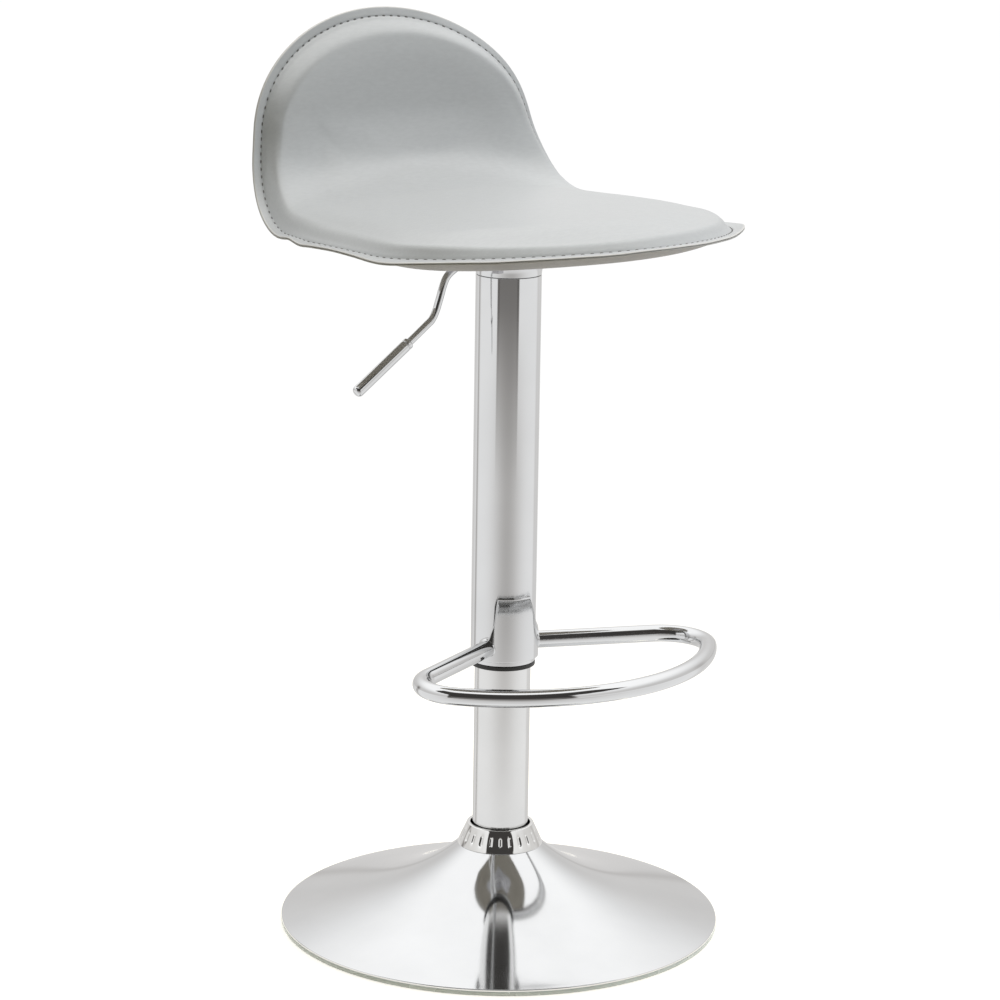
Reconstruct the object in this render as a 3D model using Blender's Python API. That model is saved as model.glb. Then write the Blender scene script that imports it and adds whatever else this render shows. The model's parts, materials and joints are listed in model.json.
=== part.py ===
"""Swivel bar stool with a gas lift: base, column, foot-rest, lift lever and padded seat.

Metres, +Z up. The origin is on the floor, on the column's axis. The sitter faces -Y,
and the lift lever is on the sitter's right, at -X. The seat is at its lowest height.
"""

import math

import bmesh
import bpy
import numpy as np
from mathutils import Matrix, Vector

# Clearances
GAP = 0.0003                    # between pieces that are seated on each other
SLIDE_GAP = 0.00035             # radial, between pieces that slide or turn

# Base
BASE_RADIUS = 0.205
BASE_HEIGHT = 0.0812            # top of the neck above the floor
BASE_WALL = 0.002
FLARE_STRAIGHT = 0.60           # share of the rise that is a plain cone
FLARE_POWER = 4                 # how sharply the rest gathers at the neck
FLARE_STEPS = 8
FLARE_STEP_GROWTH = 1.5         # rings of the shell are closer at the neck
RING_HEIGHT = 0.0035            # floor ring under the rim
RING_WIDTH = 0.009
RING_LIP_WIDTH = 0.0025
RING_LIP_HEIGHT = 0.0013
SOCKET_WALL = 0.004
SOCKET_BOTTOM = 0.010
SOCKET_RISE = 0.004             # socket above the shell's neck
SOCKET_LIP_RADIUS = 0.014
BALLAST_RADIUS = 0.120
BALLAST_THICKNESS = 0.006

# Trim collar
COLLAR_CLEARANCE = 0.002        # round the tube
COLLAR_BRIM = 0.003             # flat top, from the bore outwards
COLLAR_SPREAD = 0.009           # foot wider than the top by this
COLLAR_HEIGHT = 0.020
COLLAR_WALL = 0.002
COLLAR_RIBS = 24
COLLAR_RIB_DEPTH = 0.0009
COLLAR_RIM = 0.0035             # plain band above and below the ribs

# Outer tube and its guide
TUBE_RADIUS = 0.026
TUBE_WALL = 0.002
TUBE_BOTTOM = 0.018
TUBE_HEADROOM = 0.007           # between the guide and the cap when the seat is down
TUBE_FLOOR_THICKNESS = 0.006
GUIDE_LENGTH = 0.090
GUIDE_FLANGE = 0.003

# Swivel bearing
WASHER_RADIUS = 0.018
WASHER_THICKNESS = 0.002
BALL_RADIUS = 0.0025
BALL_COUNT = 6
BALL_PITCH_RADIUS = 0.0115
CAGE_WIDTH = 0.009
CAGE_THICKNESS = 0.002

# Gas lift, standing half
LIFT_STROKE = 0.210
ROD_RADIUS = 0.005
ROD_TAIL_RADIUS = 0.004
ROD_SHOULDER_RADIUS = 0.009
ROD_SHOULDER_HEIGHT = 0.003
LOCK_WASHER_RADIUS = 0.009
LOCK_WASHER_THICKNESS = 0.0012
CLIP_RADIUS = 0.008
CLIP_THICKNESS = 0.0012
CLIP_GROOVE_RADIUS = 0.0032
CLIP_MOUTH = 0.0056
ROD_TAIL_END = 0.002            # tail below the clip
SPACER_RADIUS = 0.009
BUMPER_RADIUS = 0.012
BUMPER_HEIGHT = 0.012
PISTON_HEIGHT = 0.015
PISTON_BORE_RADIUS = 0.003
PISTON_CLEARANCE = 0.004        # to the seal at full height
PISTON_NUT_RADIUS = 0.005
PISTON_NUT_HEIGHT = 0.004
PISTON_HEADROOM = 0.0082        # between the nut and the valve when the seat is down
SEAL_HEIGHT = 0.005
SEAL_DEPTH = 0.0022

# Gas lift, rising half
CYLINDER_RADIUS = 0.014
CYLINDER_WALL = 0.002
CYLINDER_RECESS = 0.0025        # cylinder top below the hub's top
CYLINDER_LIP_RADIUS = 0.0095
CYLINDER_LIP_HEIGHT = 0.0027
TAPER_HEIGHT = 0.025
TAPER_DROP = 0.0007
GLAND_HEIGHT = 0.022
ROD_SEAL_HEIGHT = 0.0057
VALVE_HEIGHT = 0.0525
PIN_RADIUS = 0.003
PIN_LENGTH = 0.0257
PIN_TRAVEL_ROOM = 0.004

# Seat plate and hub
PLATE_HALF = 0.075
PLATE_CORNER_POWER = 10         # roundness of the plate's corners
PLATE_THICKNESS = 0.0025
PLATE_DISH_DEPTH = 0.007
PLATE_DISH_RADIUS = 0.055
PLATE_FLOOR_RADIUS = 0.045
HUB_WALL = 0.004
HUB_HEIGHT = 0.0255
HUB_RECESS = 0.002              # hub top below the dish floor's top

# Sleeve
SLEEVE_WALL = 0.0015
SLEEVE_LENGTH = 0.361
SLEEVE_BUSH_WALL = 0.00185
SLEEVE_BUSH_LIP = 0.004
SLEEVE_BUSH_LENGTH = 0.030
CAP_FLARE = 0.0075              # cap wider than the sleeve by this
CAP_HEIGHT = 0.0124
CAP_SPIGOT_LENGTH = 0.0143
CAP_SPIGOT_WALL = 0.0027
CAP_FLOOR = 0.006

# Foot-rest
FOOTREST_RADIUS = 0.190         # front bow, about the column's axis
FOOTREST_TUBE_RADIUS = 0.008
FOOTREST_RISE = 0.0125          # tube's centreline above the saddle's lower edge
FOOTREST_CORNER_RADIUS = 0.040
FOOTREST_LEG_ANGLE = math.radians(66)
SADDLE_THICKNESS = 0.0025
SADDLE_RISE = 0.0042            # lower edge above the end of the sleeve
SADDLE_BAND_HEIGHT = 0.0255
SADDLE_TONGUE_HEIGHT = 0.035    # above the band
SADDLE_BAND_ANGLE = math.radians(74)
SADDLE_WAIST = (math.radians(-56), math.radians(38))
SADDLE_CREST = (math.radians(-48), math.radians(10))

# Lift lever, in the plane y = 0
LEVER_RADIUS = 0.0035
LEVER_PIVOT_REACH = 0.022       # from the column's axis
LEVER_PIVOT_RISE = 0.0027       # above the floor of the dish
LEVER_PIN_RADIUS = 0.0015
LEVER_TAIL = 0.006              # past the column's axis
LEVER_TAIL_RISE = 0.0004
LEVER_ROUTE = (                 # x and z from the pivot
    (-0.028, -0.0035),
    (-0.0384, -0.0079),
    (-0.0495, -0.0165),
    (-0.0570, -0.0359),
    (-0.0600, -0.0440),
    (-0.0645, -0.0519),
    (-0.0706, -0.0567),
    (-0.0898, -0.0703),
)
LEVER_ROUTE_STEPS = 2
GRIP_END = Vector((-0.148, 0.0, -0.1105))
GRIP_RADIUS = 0.0053
GRIP_NOSE = 0.004
GRIP_SOCKET_SHARE = 0.65        # share of the grip that is bored
GRIP_ROD_SHARE = 0.60           # share of the grip that the rod goes into
EAR_HALF_LENGTH = 0.005
EAR_THICKNESS = 0.0015
EAR_ABOVE_PIVOT = 0.0033
LEVER_SIDE_GAP = 0.001
SLOT_HALF_WIDTH = 0.0047

# Seat fasteners
BOLT_MARGIN = 0.015             # from the edge of the plate
BOLT_RADIUS = 0.003
BOLT_HEAD_RADIUS = 0.0055
BOLT_HEAD_HEIGHT = 0.0042
SPRING_WASHER_RADIUS = 0.006
SPRING_WASHER_THICKNESS = 0.0012
TEE_NUT_RADIUS = 0.009
TEE_NUT_FLANGE = 0.0014
TEE_NUT_BARREL_RADIUS = 0.0045
TEE_NUT_LENGTH = 0.0045

# Seat, along its profile from the front edge to the top of the back
SEAT_HEIGHT = 0.652             # sewn edge above the floor
SEAT_FRONT = 0.2124             # front edge ahead of the column's axis
FRONT_LIFT = 0.0147
FRONT_LIFT_START = 0.050        # ahead of the axis
FRONT_LIFT_POWER = 1.54
BACK_RISE = 0.188               # top of the back above the sewn edge of the seat
BACK_TOP_REACH = 0.2026         # behind the column's axis
BACK_RECLINE = math.radians(4.4)
BEND_RADIUS = 0.103
BACK_DISH = 0.022               # sides of the back stand forward by this
SEAT_HALF_WIDTH = 0.198
BACK_HALF_WIDTH = 0.161
TAPER_LEAD = 0.042              # the seat starts to narrow this far ahead of the bend
FRONT_ROUND = 0.159
FRONT_ROUND_POWER = 1.83
TOP_ROUND = 0.114
TOP_ROUND_POWER = 1.96
FLANGE_WIDTH = 0.010            # sewn edge all round
FLANGE_LAYER = 0.0016           # one cover's share of the sewn edge
PAD_RISE = 0.0145
PAD_SHOULDER = 0.022
PAD_CROWN = 0.006
UNDER_DEPTH = 0.0133
UNDER_SPAN = 0.060              # the underside is flat inside this
UNDER_SKIN = 0.0035
CORE_MARGIN = 0.026
CORE_SINK = 0.006
SPINE_INSET = 0.150             # the crown's ridge ends this far from the edge
EDGE_POINTS = 26                # per side of the outline
SHOULDER_RINGS = 4
INNER_RINGS = 3
INNER_RING_GROWTH = 1.3
PROFILE_STEPS = 40              # per curve of the side profile
PROFILE_SAMPLES = 600
OUTLINE_SAMPLES = 4000

# Facets round a turned piece
SMALL = 12
COARSE = 16
MEDIUM = 20
FINE = 36
BASE_FACETS = 50

# Heights that follow from the sizes above
BACK_TOP_HEIGHT = SEAT_HEIGHT + BACK_RISE
PLATE_TOP = SEAT_HEIGHT - FLANGE_LAYER - UNDER_DEPTH - GAP
PLATE_RIM_BOTTOM = PLATE_TOP - PLATE_THICKNESS
DISH_FLOOR_TOP = PLATE_TOP - PLATE_DISH_DEPTH
DISH_FLOOR_BOTTOM = DISH_FLOOR_TOP - PLATE_THICKNESS
HUB_RADIUS = CYLINDER_RADIUS + HUB_WALL
HUB_TOP = DISH_FLOOR_TOP - HUB_RECESS
LEVER_PIVOT = Vector((-LEVER_PIVOT_REACH, 0.0, DISH_FLOOR_TOP + LEVER_PIVOT_RISE))
PIN_TOP = LEVER_PIVOT.z + LEVER_TAIL_RISE - LEVER_RADIUS - GAP
SLEEVE_BORE = TUBE_RADIUS + SLIDE_GAP + SLEEVE_BUSH_WALL + GAP
SLEEVE_RADIUS = SLEEVE_BORE + SLEEVE_WALL
CAP_TOP = DISH_FLOOR_BOTTOM - GAP
CAP_Z = CAP_TOP - CAP_HEIGHT
CAP_SPIGOT_Z = CAP_Z - CAP_SPIGOT_LENGTH
SLEEVE_TOP = CAP_Z - GAP
SLEEVE_BOTTOM = SLEEVE_TOP - SLEEVE_LENGTH
SADDLE_RADIUS = SLEEVE_RADIUS + GAP
SADDLE_BOTTOM = SLEEVE_BOTTOM + SADDLE_RISE
SADDLE_BAND_TOP = SADDLE_BOTTOM + SADDLE_BAND_HEIGHT
SADDLE_TOP = SADDLE_BAND_TOP + SADDLE_TONGUE_HEIGHT
FOOTREST_HEIGHT = SADDLE_BOTTOM + FOOTREST_RISE
CYLINDER_BORE = CYLINDER_RADIUS - CYLINDER_WALL
CYLINDER_TOP = HUB_TOP - CYLINDER_RECESS
VALVE_TOP = CYLINDER_TOP - GAP
VALVE_Z = VALVE_TOP - VALVE_HEIGHT
PISTON_NUT_TOP = VALVE_Z - PISTON_HEADROOM
PISTON_TOP = PISTON_NUT_TOP - PISTON_NUT_HEIGHT - GAP
PISTON_Z = PISTON_TOP - PISTON_HEIGHT
ROD_SEAL_Z = PISTON_Z - PISTON_CLEARANCE - LIFT_STROKE - ROD_SEAL_HEIGHT
GLAND_Z = ROD_SEAL_Z - GAP - GLAND_HEIGHT
CYLINDER_BOTTOM = GLAND_Z - GAP - CYLINDER_LIP_HEIGHT
BUMPER_Z = CYLINDER_BOTTOM - GAP - BUMPER_HEIGHT
TUBE_BORE = TUBE_RADIUS - TUBE_WALL
TUBE_TOP = CAP_SPIGOT_Z - TUBE_HEADROOM - GUIDE_FLANGE - GAP
TUBE_FLOOR_TOP = TUBE_BOTTOM + TUBE_FLOOR_THICKNESS
COLLAR_BORE_RADIUS = TUBE_RADIUS + COLLAR_CLEARANCE
COLLAR_TOP_RADIUS = COLLAR_BORE_RADIUS + COLLAR_BRIM
COLLAR_FOOT_RADIUS = COLLAR_TOP_RADIUS + COLLAR_SPREAD
SOCKET_RADIUS = TUBE_RADIUS + GAP + SOCKET_WALL
NECK_RADIUS = SOCKET_RADIUS + GAP + BASE_WALL
RIM_Z = RING_HEIGHT + GAP
SOCKET_TOP = BASE_HEIGHT + SOCKET_RISE
LOWER_WASHER_Z = TUBE_FLOOR_TOP + GAP
BALL_Z = LOWER_WASHER_Z + WASHER_THICKNESS + GAP + BALL_RADIUS
UPPER_WASHER_Z = BALL_Z + BALL_RADIUS + GAP
SHOULDER_Z = UPPER_WASHER_Z + WASHER_THICKNESS + GAP
SPACER_Z = SHOULDER_Z + ROD_SHOULDER_HEIGHT + GAP
LOCK_WASHER_Z = TUBE_BOTTOM - GAP - LOCK_WASHER_THICKNESS
CLIP_Z = LOCK_WASHER_Z - GAP - CLIP_THICKNESS


def finish(name, colour, roughness, metallic):
    """Make a plain Principled material."""
    material = bpy.data.materials.new(name)
    material.use_nodes = True
    shader = material.node_tree.nodes["Principled BSDF"]
    shader.inputs["Base Color"].default_value = (*colour, 1.0)
    shader.inputs["Roughness"].default_value = roughness
    shader.inputs["Metallic"].default_value = metallic
    return material


def axis_empty(name, location):
    """Mark a joint's axis, to which the pieces that move on it are parented."""
    empty = bpy.data.objects.new(name, None)
    empty.location = location
    bpy.context.scene.collection.objects.link(empty)
    return empty


def add_piece(name, mesh, material, parent):
    """Link a mesh as a named piece, placed from its parent axis."""
    piece = bpy.data.objects.new(name, mesh)
    piece.data.materials.append(material)
    piece.parent = parent
    bpy.context.scene.collection.objects.link(piece)
    return piece


def smooth(mesh, angle=math.radians(35)):
    """Shade a mesh smooth up to a crease angle."""
    mesh.shade_smooth()
    mesh.set_sharp_from_angle(angle=angle)


def mesh_from(name, bm):
    """Write a bmesh with its faces turned outwards to a new mesh."""
    bmesh.ops.recalc_face_normals(bm, faces=bm.faces)
    mesh = bpy.data.meshes.new(name)
    bm.to_mesh(mesh)
    bm.free()
    smooth(mesh)
    return mesh


def ring(inner, outer, low, high):
    """Section of a plain ring as (radius, height) points."""
    return [(outer, high), (outer, low), (inner, low), (inner, high)]


def turned_mesh(name, section, facets):
    """Spin a (radius, height) section about Z. A section that starts and ends at radius 0 is solid."""
    bm = bmesh.new()
    points = [bm.verts.new((radius, 0.0, height)) for radius, height in section]
    edges = [bm.edges.new(pair) for pair in zip(points, points[1:])]
    if section[0][0] > 0:
        edges.append(bm.edges.new((points[-1], points[0])))
    bmesh.ops.spin(bm, geom=points + edges, cent=(0, 0, 0), axis=(0, 0, 1), angle=2 * math.pi,
                   steps=facets, use_merge=True, use_normal_flip=False)
    bmesh.ops.remove_doubles(bm, verts=bm.verts, dist=1e-6)
    return mesh_from(name, bm)


def turned(name, section, facets, material, parent):
    """Turned piece on the column's axis."""
    return add_piece(name, turned_mesh(name, section, facets), material, parent)


def loop(reaches, height):
    """Closed loop of points round Z, evenly turned, each at its own reach."""
    turns = [2 * math.pi * index / len(reaches) for index in range(len(reaches))]
    return [(reach * math.cos(turn), reach * math.sin(turn), height) for reach, turn in zip(reaches, turns)]


def hexagon(radius, height):
    """Loop of a hexagon, with a point at each corner and in the middle of each side."""
    return loop([radius, radius * math.cos(math.pi / 6)] * 6, height)


def stacked_mesh(name, rows, hollow=True):
    """Join loops of equal length in turn. A hollow stack joins the last to the first."""
    bm = bmesh.new()
    loops = [[bm.verts.new(point) for point in row] for row in rows]
    for upper, lower in zip(loops, loops[1:] + loops[:1] * hollow):
        for index in range(len(upper)):
            following = (index + 1) % len(upper)
            bm.faces.new((upper[index], lower[index], lower[following], upper[following]))
    bmesh.ops.remove_doubles(bm, verts=bm.verts, dist=1e-6)
    return mesh_from(name, bm)


def cutter(name, mesh, parent=None):
    """Shape that is only cut away from others."""
    piece = bpy.data.objects.new(name, mesh)
    piece.parent = parent
    piece.hide_render = True
    piece.display_type = 'WIRE'
    bpy.context.scene.collection.objects.link(piece)
    return piece


def cut(piece, tool):
    """Take a cutter's shape out of a piece."""
    modifier = piece.modifiers.new("Cut " + tool.name, 'BOOLEAN')
    modifier.operation = 'DIFFERENCE'
    modifier.object = tool


def box_mesh(name, low, high):
    """Box between two corners."""
    low, high = Vector(low), Vector(high)
    bm = bmesh.new()
    size = Matrix.Diagonal((*(high - low), 1.0))
    bmesh.ops.create_cube(bm, size=1.0, matrix=Matrix.Translation((low + high) / 2) @ size)
    return mesh_from(name, bm)


def tube_mesh(name, route, radius, sides):
    """Round bar along a route that stays in one plane."""
    route = [Vector(point) for point in route]
    span = (route[-1] - route[0]).cross(route[len(route) // 2] - route[0])
    across = span.normalized()
    bm = bmesh.new()
    rings = []
    for index, point in enumerate(route):
        before = route[max(index - 1, 0)]
        after = route[min(index + 1, len(route) - 1)]
        side = (after - before).normalized().cross(across)
        turns = [2 * math.pi * step / sides for step in range(sides)]
        rings.append([bm.verts.new(point + radius * (math.cos(t) * across + math.sin(t) * side))
                      for t in turns])
    for lower, upper in zip(rings, rings[1:]):
        for step in range(sides):
            following = (step + 1) % sides
            bm.faces.new((lower[step], lower[following], upper[following], upper[step]))
    bm.faces.new(rings[0])
    bm.faces.new(rings[-1])
    return mesh_from(name, bm)


def shell_height(radius):
    """Height of the base's outer face at a distance from the column's axis."""
    along = (BASE_RADIUS - radius) / (BASE_RADIUS - NECK_RADIUS)
    rise = FLARE_STRAIGHT * along + (1 - FLARE_STRAIGHT) * along ** FLARE_POWER
    return RIM_Z + BASE_WALL + (BASE_HEIGHT - RIM_Z - BASE_WALL) * rise


def shell_inside(radius):
    """Height of the base's inner face, one wall thickness inside the outer one."""
    step = BASE_WALL / 10
    slope = (shell_height(radius - step) - shell_height(radius + step)) / (2 * step)
    return shell_height(radius) - BASE_WALL * math.hypot(1.0, slope)


def build_base(frame, finishes):
    """Floor ring, trumpet shell, socket, ballast and trim collar."""
    lip = BASE_RADIUS - RING_WIDTH
    turned("floor_ring", [
        (BASE_RADIUS, RING_HEIGHT), (BASE_RADIUS, 0.0), (lip, 0.0),
        (lip, RING_HEIGHT + RING_LIP_HEIGHT), (lip + RING_LIP_WIDTH, RING_HEIGHT + RING_LIP_HEIGHT),
        (lip + RING_LIP_WIDTH, RING_HEIGHT),
    ], BASE_FACETS, finishes["clear_plastic"], frame)

    shares = [(step / FLARE_STEPS) ** FLARE_STEP_GROWTH for step in range(FLARE_STEPS + 1)]
    radii = [NECK_RADIUS + (BASE_RADIUS - NECK_RADIUS) * share for share in shares]
    outside = [(radius, shell_height(radius)) for radius in radii] + [(BASE_RADIUS, RIM_Z)]
    foot = lip + RING_LIP_WIDTH + GAP
    neck = NECK_RADIUS - BASE_WALL
    inside = [(foot, RIM_Z), (foot, shell_inside(foot))]
    inside += [(radius, shell_inside(radius)) for radius in reversed(radii[1:-1])]
    inside += [(neck, shell_inside(neck)), (neck, BASE_HEIGHT)]
    turned("base_shell", outside + inside, BASE_FACETS, finishes["chrome"], frame)

    turned("base_socket", [
        (SOCKET_RADIUS, SOCKET_TOP), (SOCKET_RADIUS, SOCKET_BOTTOM), (SOCKET_LIP_RADIUS, SOCKET_BOTTOM),
        (SOCKET_LIP_RADIUS, TUBE_BOTTOM - GAP), (TUBE_RADIUS + GAP, TUBE_BOTTOM - GAP),
        (TUBE_RADIUS + GAP, SOCKET_TOP),
    ], FINE, finishes["steel"], frame)
    turned("ballast_disc", ring(SOCKET_RADIUS + GAP, BALLAST_RADIUS, SOCKET_BOTTOM,
                                SOCKET_BOTTOM + BALLAST_THICKNESS), FINE, finishes["steel"], frame)
    build_collar(frame, finishes["chrome_plastic"])


def build_collar(frame, material):
    """Conical trim collar with upright ribs, standing on the shell."""
    foot_z = shell_height(COLLAR_FOOT_RADIUS) + 2 * GAP
    inner_foot = COLLAR_FOOT_RADIUS - COLLAR_WALL
    top_z = foot_z + COLLAR_HEIGHT
    slope = (COLLAR_FOOT_RADIUS - COLLAR_TOP_RADIUS) / COLLAR_HEIGHT
    low_band, high_band = foot_z + COLLAR_RIM, top_z - COLLAR_RIM

    def cone(height):
        return COLLAR_FOOT_RADIUS - slope * (height - foot_z)

    section = [
        (COLLAR_BORE_RADIUS, top_z - COLLAR_WALL, 0), (COLLAR_BORE_RADIUS, top_z, 0),
        (COLLAR_TOP_RADIUS, top_z, 0), (cone(high_band), high_band, 0),
        (cone(high_band - COLLAR_RIB_DEPTH), high_band - COLLAR_RIB_DEPTH, 1),
        (cone(low_band + COLLAR_RIB_DEPTH), low_band + COLLAR_RIB_DEPTH, 1),
        (cone(low_band), low_band, 0), (COLLAR_FOOT_RADIUS, foot_z, 0),
        (inner_foot, shell_height(inner_foot) + 2 * GAP, 0),
        (cone(top_z - COLLAR_WALL) - COLLAR_WALL, top_z - COLLAR_WALL, 0),
    ]
    rows = []
    for radius, height, ribbed in section:
        valley = radius - ribbed * COLLAR_RIB_DEPTH
        rows.append(loop([radius, valley, valley] * COLLAR_RIBS, height))
    add_piece("trim_collar", stacked_mesh("trim_collar", rows), material, frame)


def build_column(frame, finishes):
    """Outer tube with its floor and guide, and the lower half of the swivel bearing."""
    turned("outer_tube", ring(TUBE_BORE, TUBE_RADIUS, TUBE_BOTTOM, TUBE_TOP), FINE,
           finishes["satin_steel"], frame)
    turned("tube_floor", ring(ROD_TAIL_RADIUS + SLIDE_GAP, TUBE_BORE - GAP, TUBE_BOTTOM, TUBE_FLOOR_TOP),
           COARSE, finishes["steel"], frame)
    bore = CYLINDER_RADIUS + SLIDE_GAP
    turned("guide_bush", [
        (TUBE_RADIUS, TUBE_TOP + GAP + GUIDE_FLANGE), (TUBE_RADIUS, TUBE_TOP + GAP),
        (TUBE_BORE - GAP, TUBE_TOP + GAP), (TUBE_BORE - GAP, TUBE_TOP - GUIDE_LENGTH),
        (bore, TUBE_TOP - GUIDE_LENGTH), (bore, TUBE_TOP + GAP + GUIDE_FLANGE),
    ], MEDIUM, finishes["black_plastic"], frame)
    turned("thrust_washer_lower", ring(ROD_TAIL_RADIUS + SLIDE_GAP, WASHER_RADIUS, LOWER_WASHER_Z,
                                       LOWER_WASHER_Z + WASHER_THICKNESS), COARSE, finishes["steel"], frame)


def build_bearing(frame, finishes):
    """Ball cage and balls, which creep round at half the seat's speed."""
    cage = turned("bearing_cage", ring(
        BALL_PITCH_RADIUS - CAGE_WIDTH / 2, BALL_PITCH_RADIUS + CAGE_WIDTH / 2,
        BALL_Z - CAGE_THICKNESS / 2, BALL_Z + CAGE_THICKNESS / 2), COARSE, finishes["black_plastic"], frame)
    for number in range(1, BALL_COUNT + 1):
        turn = 2 * math.pi * (number - 0.5) / BALL_COUNT
        place = (BALL_PITCH_RADIUS * math.cos(turn), BALL_PITCH_RADIUS * math.sin(turn), BALL_Z)
        bm = bmesh.new()
        bmesh.ops.create_icosphere(bm, subdivisions=2, radius=BALL_RADIUS)
        ball = add_piece(f"bearing_ball_{number}", mesh_from("bearing_ball", bm), finishes["steel"], frame)
        ball.location = place
        hole, reach = BALL_RADIUS + GAP, CAGE_THICKNESS
        pocket = cutter(f"cutter_ball_{number}", turned_mesh("cutter_ball", [
            (0.0, reach), (hole, reach), (hole, -reach), (0.0, -reach)], SMALL), frame)
        pocket.location = place
        cut(cage, pocket)


def build_rod(frame, finishes):
    """Piston rod with its piston, stops and lower fastening, which turns with the seat."""
    steel = finishes["steel"]
    turned("thrust_washer_upper", ring(ROD_TAIL_RADIUS + GAP, WASHER_RADIUS, UPPER_WASHER_Z,
                                       UPPER_WASHER_Z + WASHER_THICKNESS), COARSE, steel, frame)
    tail_bottom = CLIP_Z - ROD_TAIL_END
    turned("piston_rod", [
        (0.0, PISTON_NUT_TOP), (PISTON_BORE_RADIUS, PISTON_NUT_TOP), (PISTON_BORE_RADIUS, PISTON_Z - GAP),
        (ROD_RADIUS, PISTON_Z - GAP), (ROD_RADIUS, SHOULDER_Z + ROD_SHOULDER_HEIGHT),
        (ROD_SHOULDER_RADIUS, SHOULDER_Z + ROD_SHOULDER_HEIGHT), (ROD_SHOULDER_RADIUS, SHOULDER_Z),
        (ROD_TAIL_RADIUS, SHOULDER_Z), (ROD_TAIL_RADIUS, CLIP_Z + CLIP_THICKNESS + GAP),
        (CLIP_GROOVE_RADIUS, CLIP_Z + CLIP_THICKNESS + GAP), (CLIP_GROOVE_RADIUS, CLIP_Z - GAP),
        (ROD_TAIL_RADIUS, CLIP_Z - GAP), (ROD_TAIL_RADIUS, tail_bottom), (0.0, tail_bottom),
    ], COARSE, steel, frame)
    turned("lock_washer", ring(ROD_TAIL_RADIUS + GAP, LOCK_WASHER_RADIUS, LOCK_WASHER_Z,
                               LOCK_WASHER_Z + LOCK_WASHER_THICKNESS), COARSE, steel, frame)
    clip = turned("retaining_clip", ring(CLIP_GROOVE_RADIUS + GAP, CLIP_RADIUS, CLIP_Z,
                                         CLIP_Z + CLIP_THICKNESS), COARSE, steel, frame)
    mouth = CLIP_MOUTH / 2
    cut(clip, cutter("cutter_clip_mouth", box_mesh("cutter_clip_mouth", (
        0.0, -mouth, CLIP_Z - CLIP_THICKNESS), (2 * CLIP_RADIUS, mouth, CLIP_Z + 2 * CLIP_THICKNESS)), frame))
    turned("rod_spacer", ring(ROD_RADIUS + GAP, SPACER_RADIUS, SPACER_Z, BUMPER_Z - GAP), COARSE,
           finishes["black_plastic"], frame)
    turned("rubber_bumper", ring(ROD_RADIUS + GAP, BUMPER_RADIUS, BUMPER_Z, BUMPER_Z + BUMPER_HEIGHT),
           COARSE, finishes["rubber"], frame)

    outside = CYLINDER_BORE - SLIDE_GAP
    groove = outside - SEAL_DEPTH
    seal_low = PISTON_Z + (PISTON_HEIGHT - SEAL_HEIGHT) / 2
    seal_high = seal_low + SEAL_HEIGHT
    bore = PISTON_BORE_RADIUS + GAP
    turned("piston", [
        (outside, PISTON_TOP), (outside, seal_high + GAP), (groove, seal_high + GAP),
        (groove, seal_low - GAP), (outside, seal_low - GAP), (outside, PISTON_Z),
        (bore, PISTON_Z), (bore, PISTON_TOP),
    ], MEDIUM, finishes["steel"], frame)
    turned("piston_seal", ring(groove + GAP, outside, seal_low, seal_high), MEDIUM, finishes["rubber"], frame)
    nut_low = PISTON_TOP + GAP
    add_piece("piston_nut", stacked_mesh("piston_nut", [
        loop([bore] * SMALL, PISTON_NUT_TOP), hexagon(PISTON_NUT_RADIUS, PISTON_NUT_TOP),
        hexagon(PISTON_NUT_RADIUS, nut_low), loop([bore] * SMALL, nut_low)]), steel, frame)


def build_cylinder(frame, finishes):
    """Gas cylinder with its gland, seal and valve, the taper hub and the seat plate."""
    steel = finishes["steel"]
    tip = CYLINDER_RADIUS - TAPER_DROP
    taper_z = CYLINDER_TOP - TAPER_HEIGHT
    turned("gas_cylinder", [
        (tip, CYLINDER_TOP), (CYLINDER_RADIUS, taper_z), (CYLINDER_RADIUS, CYLINDER_BOTTOM),
        (CYLINDER_LIP_RADIUS, CYLINDER_BOTTOM), (CYLINDER_LIP_RADIUS, CYLINDER_BOTTOM + CYLINDER_LIP_HEIGHT),
        (CYLINDER_BORE, CYLINDER_BOTTOM + CYLINDER_LIP_HEIGHT), (CYLINDER_BORE, CYLINDER_TOP),
    ], MEDIUM, finishes["black_steel"], frame)
    inside = CYLINDER_BORE - GAP
    turned("rod_gland", ring(ROD_RADIUS + SLIDE_GAP, inside, GLAND_Z, GLAND_Z + GLAND_HEIGHT), MEDIUM,
           finishes["brass"], frame)
    turned("rod_seal", ring(ROD_RADIUS + SLIDE_GAP, inside, ROD_SEAL_Z, ROD_SEAL_Z + ROD_SEAL_HEIGHT), MEDIUM,
           finishes["rubber"], frame)
    pin_room = PIN_TOP - PIN_LENGTH - PIN_TRAVEL_ROOM
    pin_bore = PIN_RADIUS + SLIDE_GAP
    turned("valve_body", [
        (0.0, pin_room), (pin_bore, pin_room), (pin_bore, VALVE_TOP), (inside, VALVE_TOP),
        (inside, VALVE_Z), (0.0, VALVE_Z),
    ], MEDIUM, finishes["brass"], frame)

    hub_bottom = HUB_TOP - HUB_HEIGHT

    def hub_bore(height):
        drop = max(height - taper_z, 0.0) / TAPER_HEIGHT * TAPER_DROP
        return CYLINDER_RADIUS - drop + GAP

    turned("plate_hub", [
        (HUB_RADIUS, HUB_TOP), (HUB_RADIUS, hub_bottom), (hub_bore(hub_bottom), hub_bottom),
        (hub_bore(HUB_TOP), HUB_TOP),
    ], MEDIUM, steel, frame)


def plate_edge(turn):
    """Distance to the rim of the seat plate, a square with round corners."""
    power = PLATE_CORNER_POWER
    return PLATE_HALF / (abs(math.cos(turn)) ** power + abs(math.sin(turn)) ** power) ** (1 / power)


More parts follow.
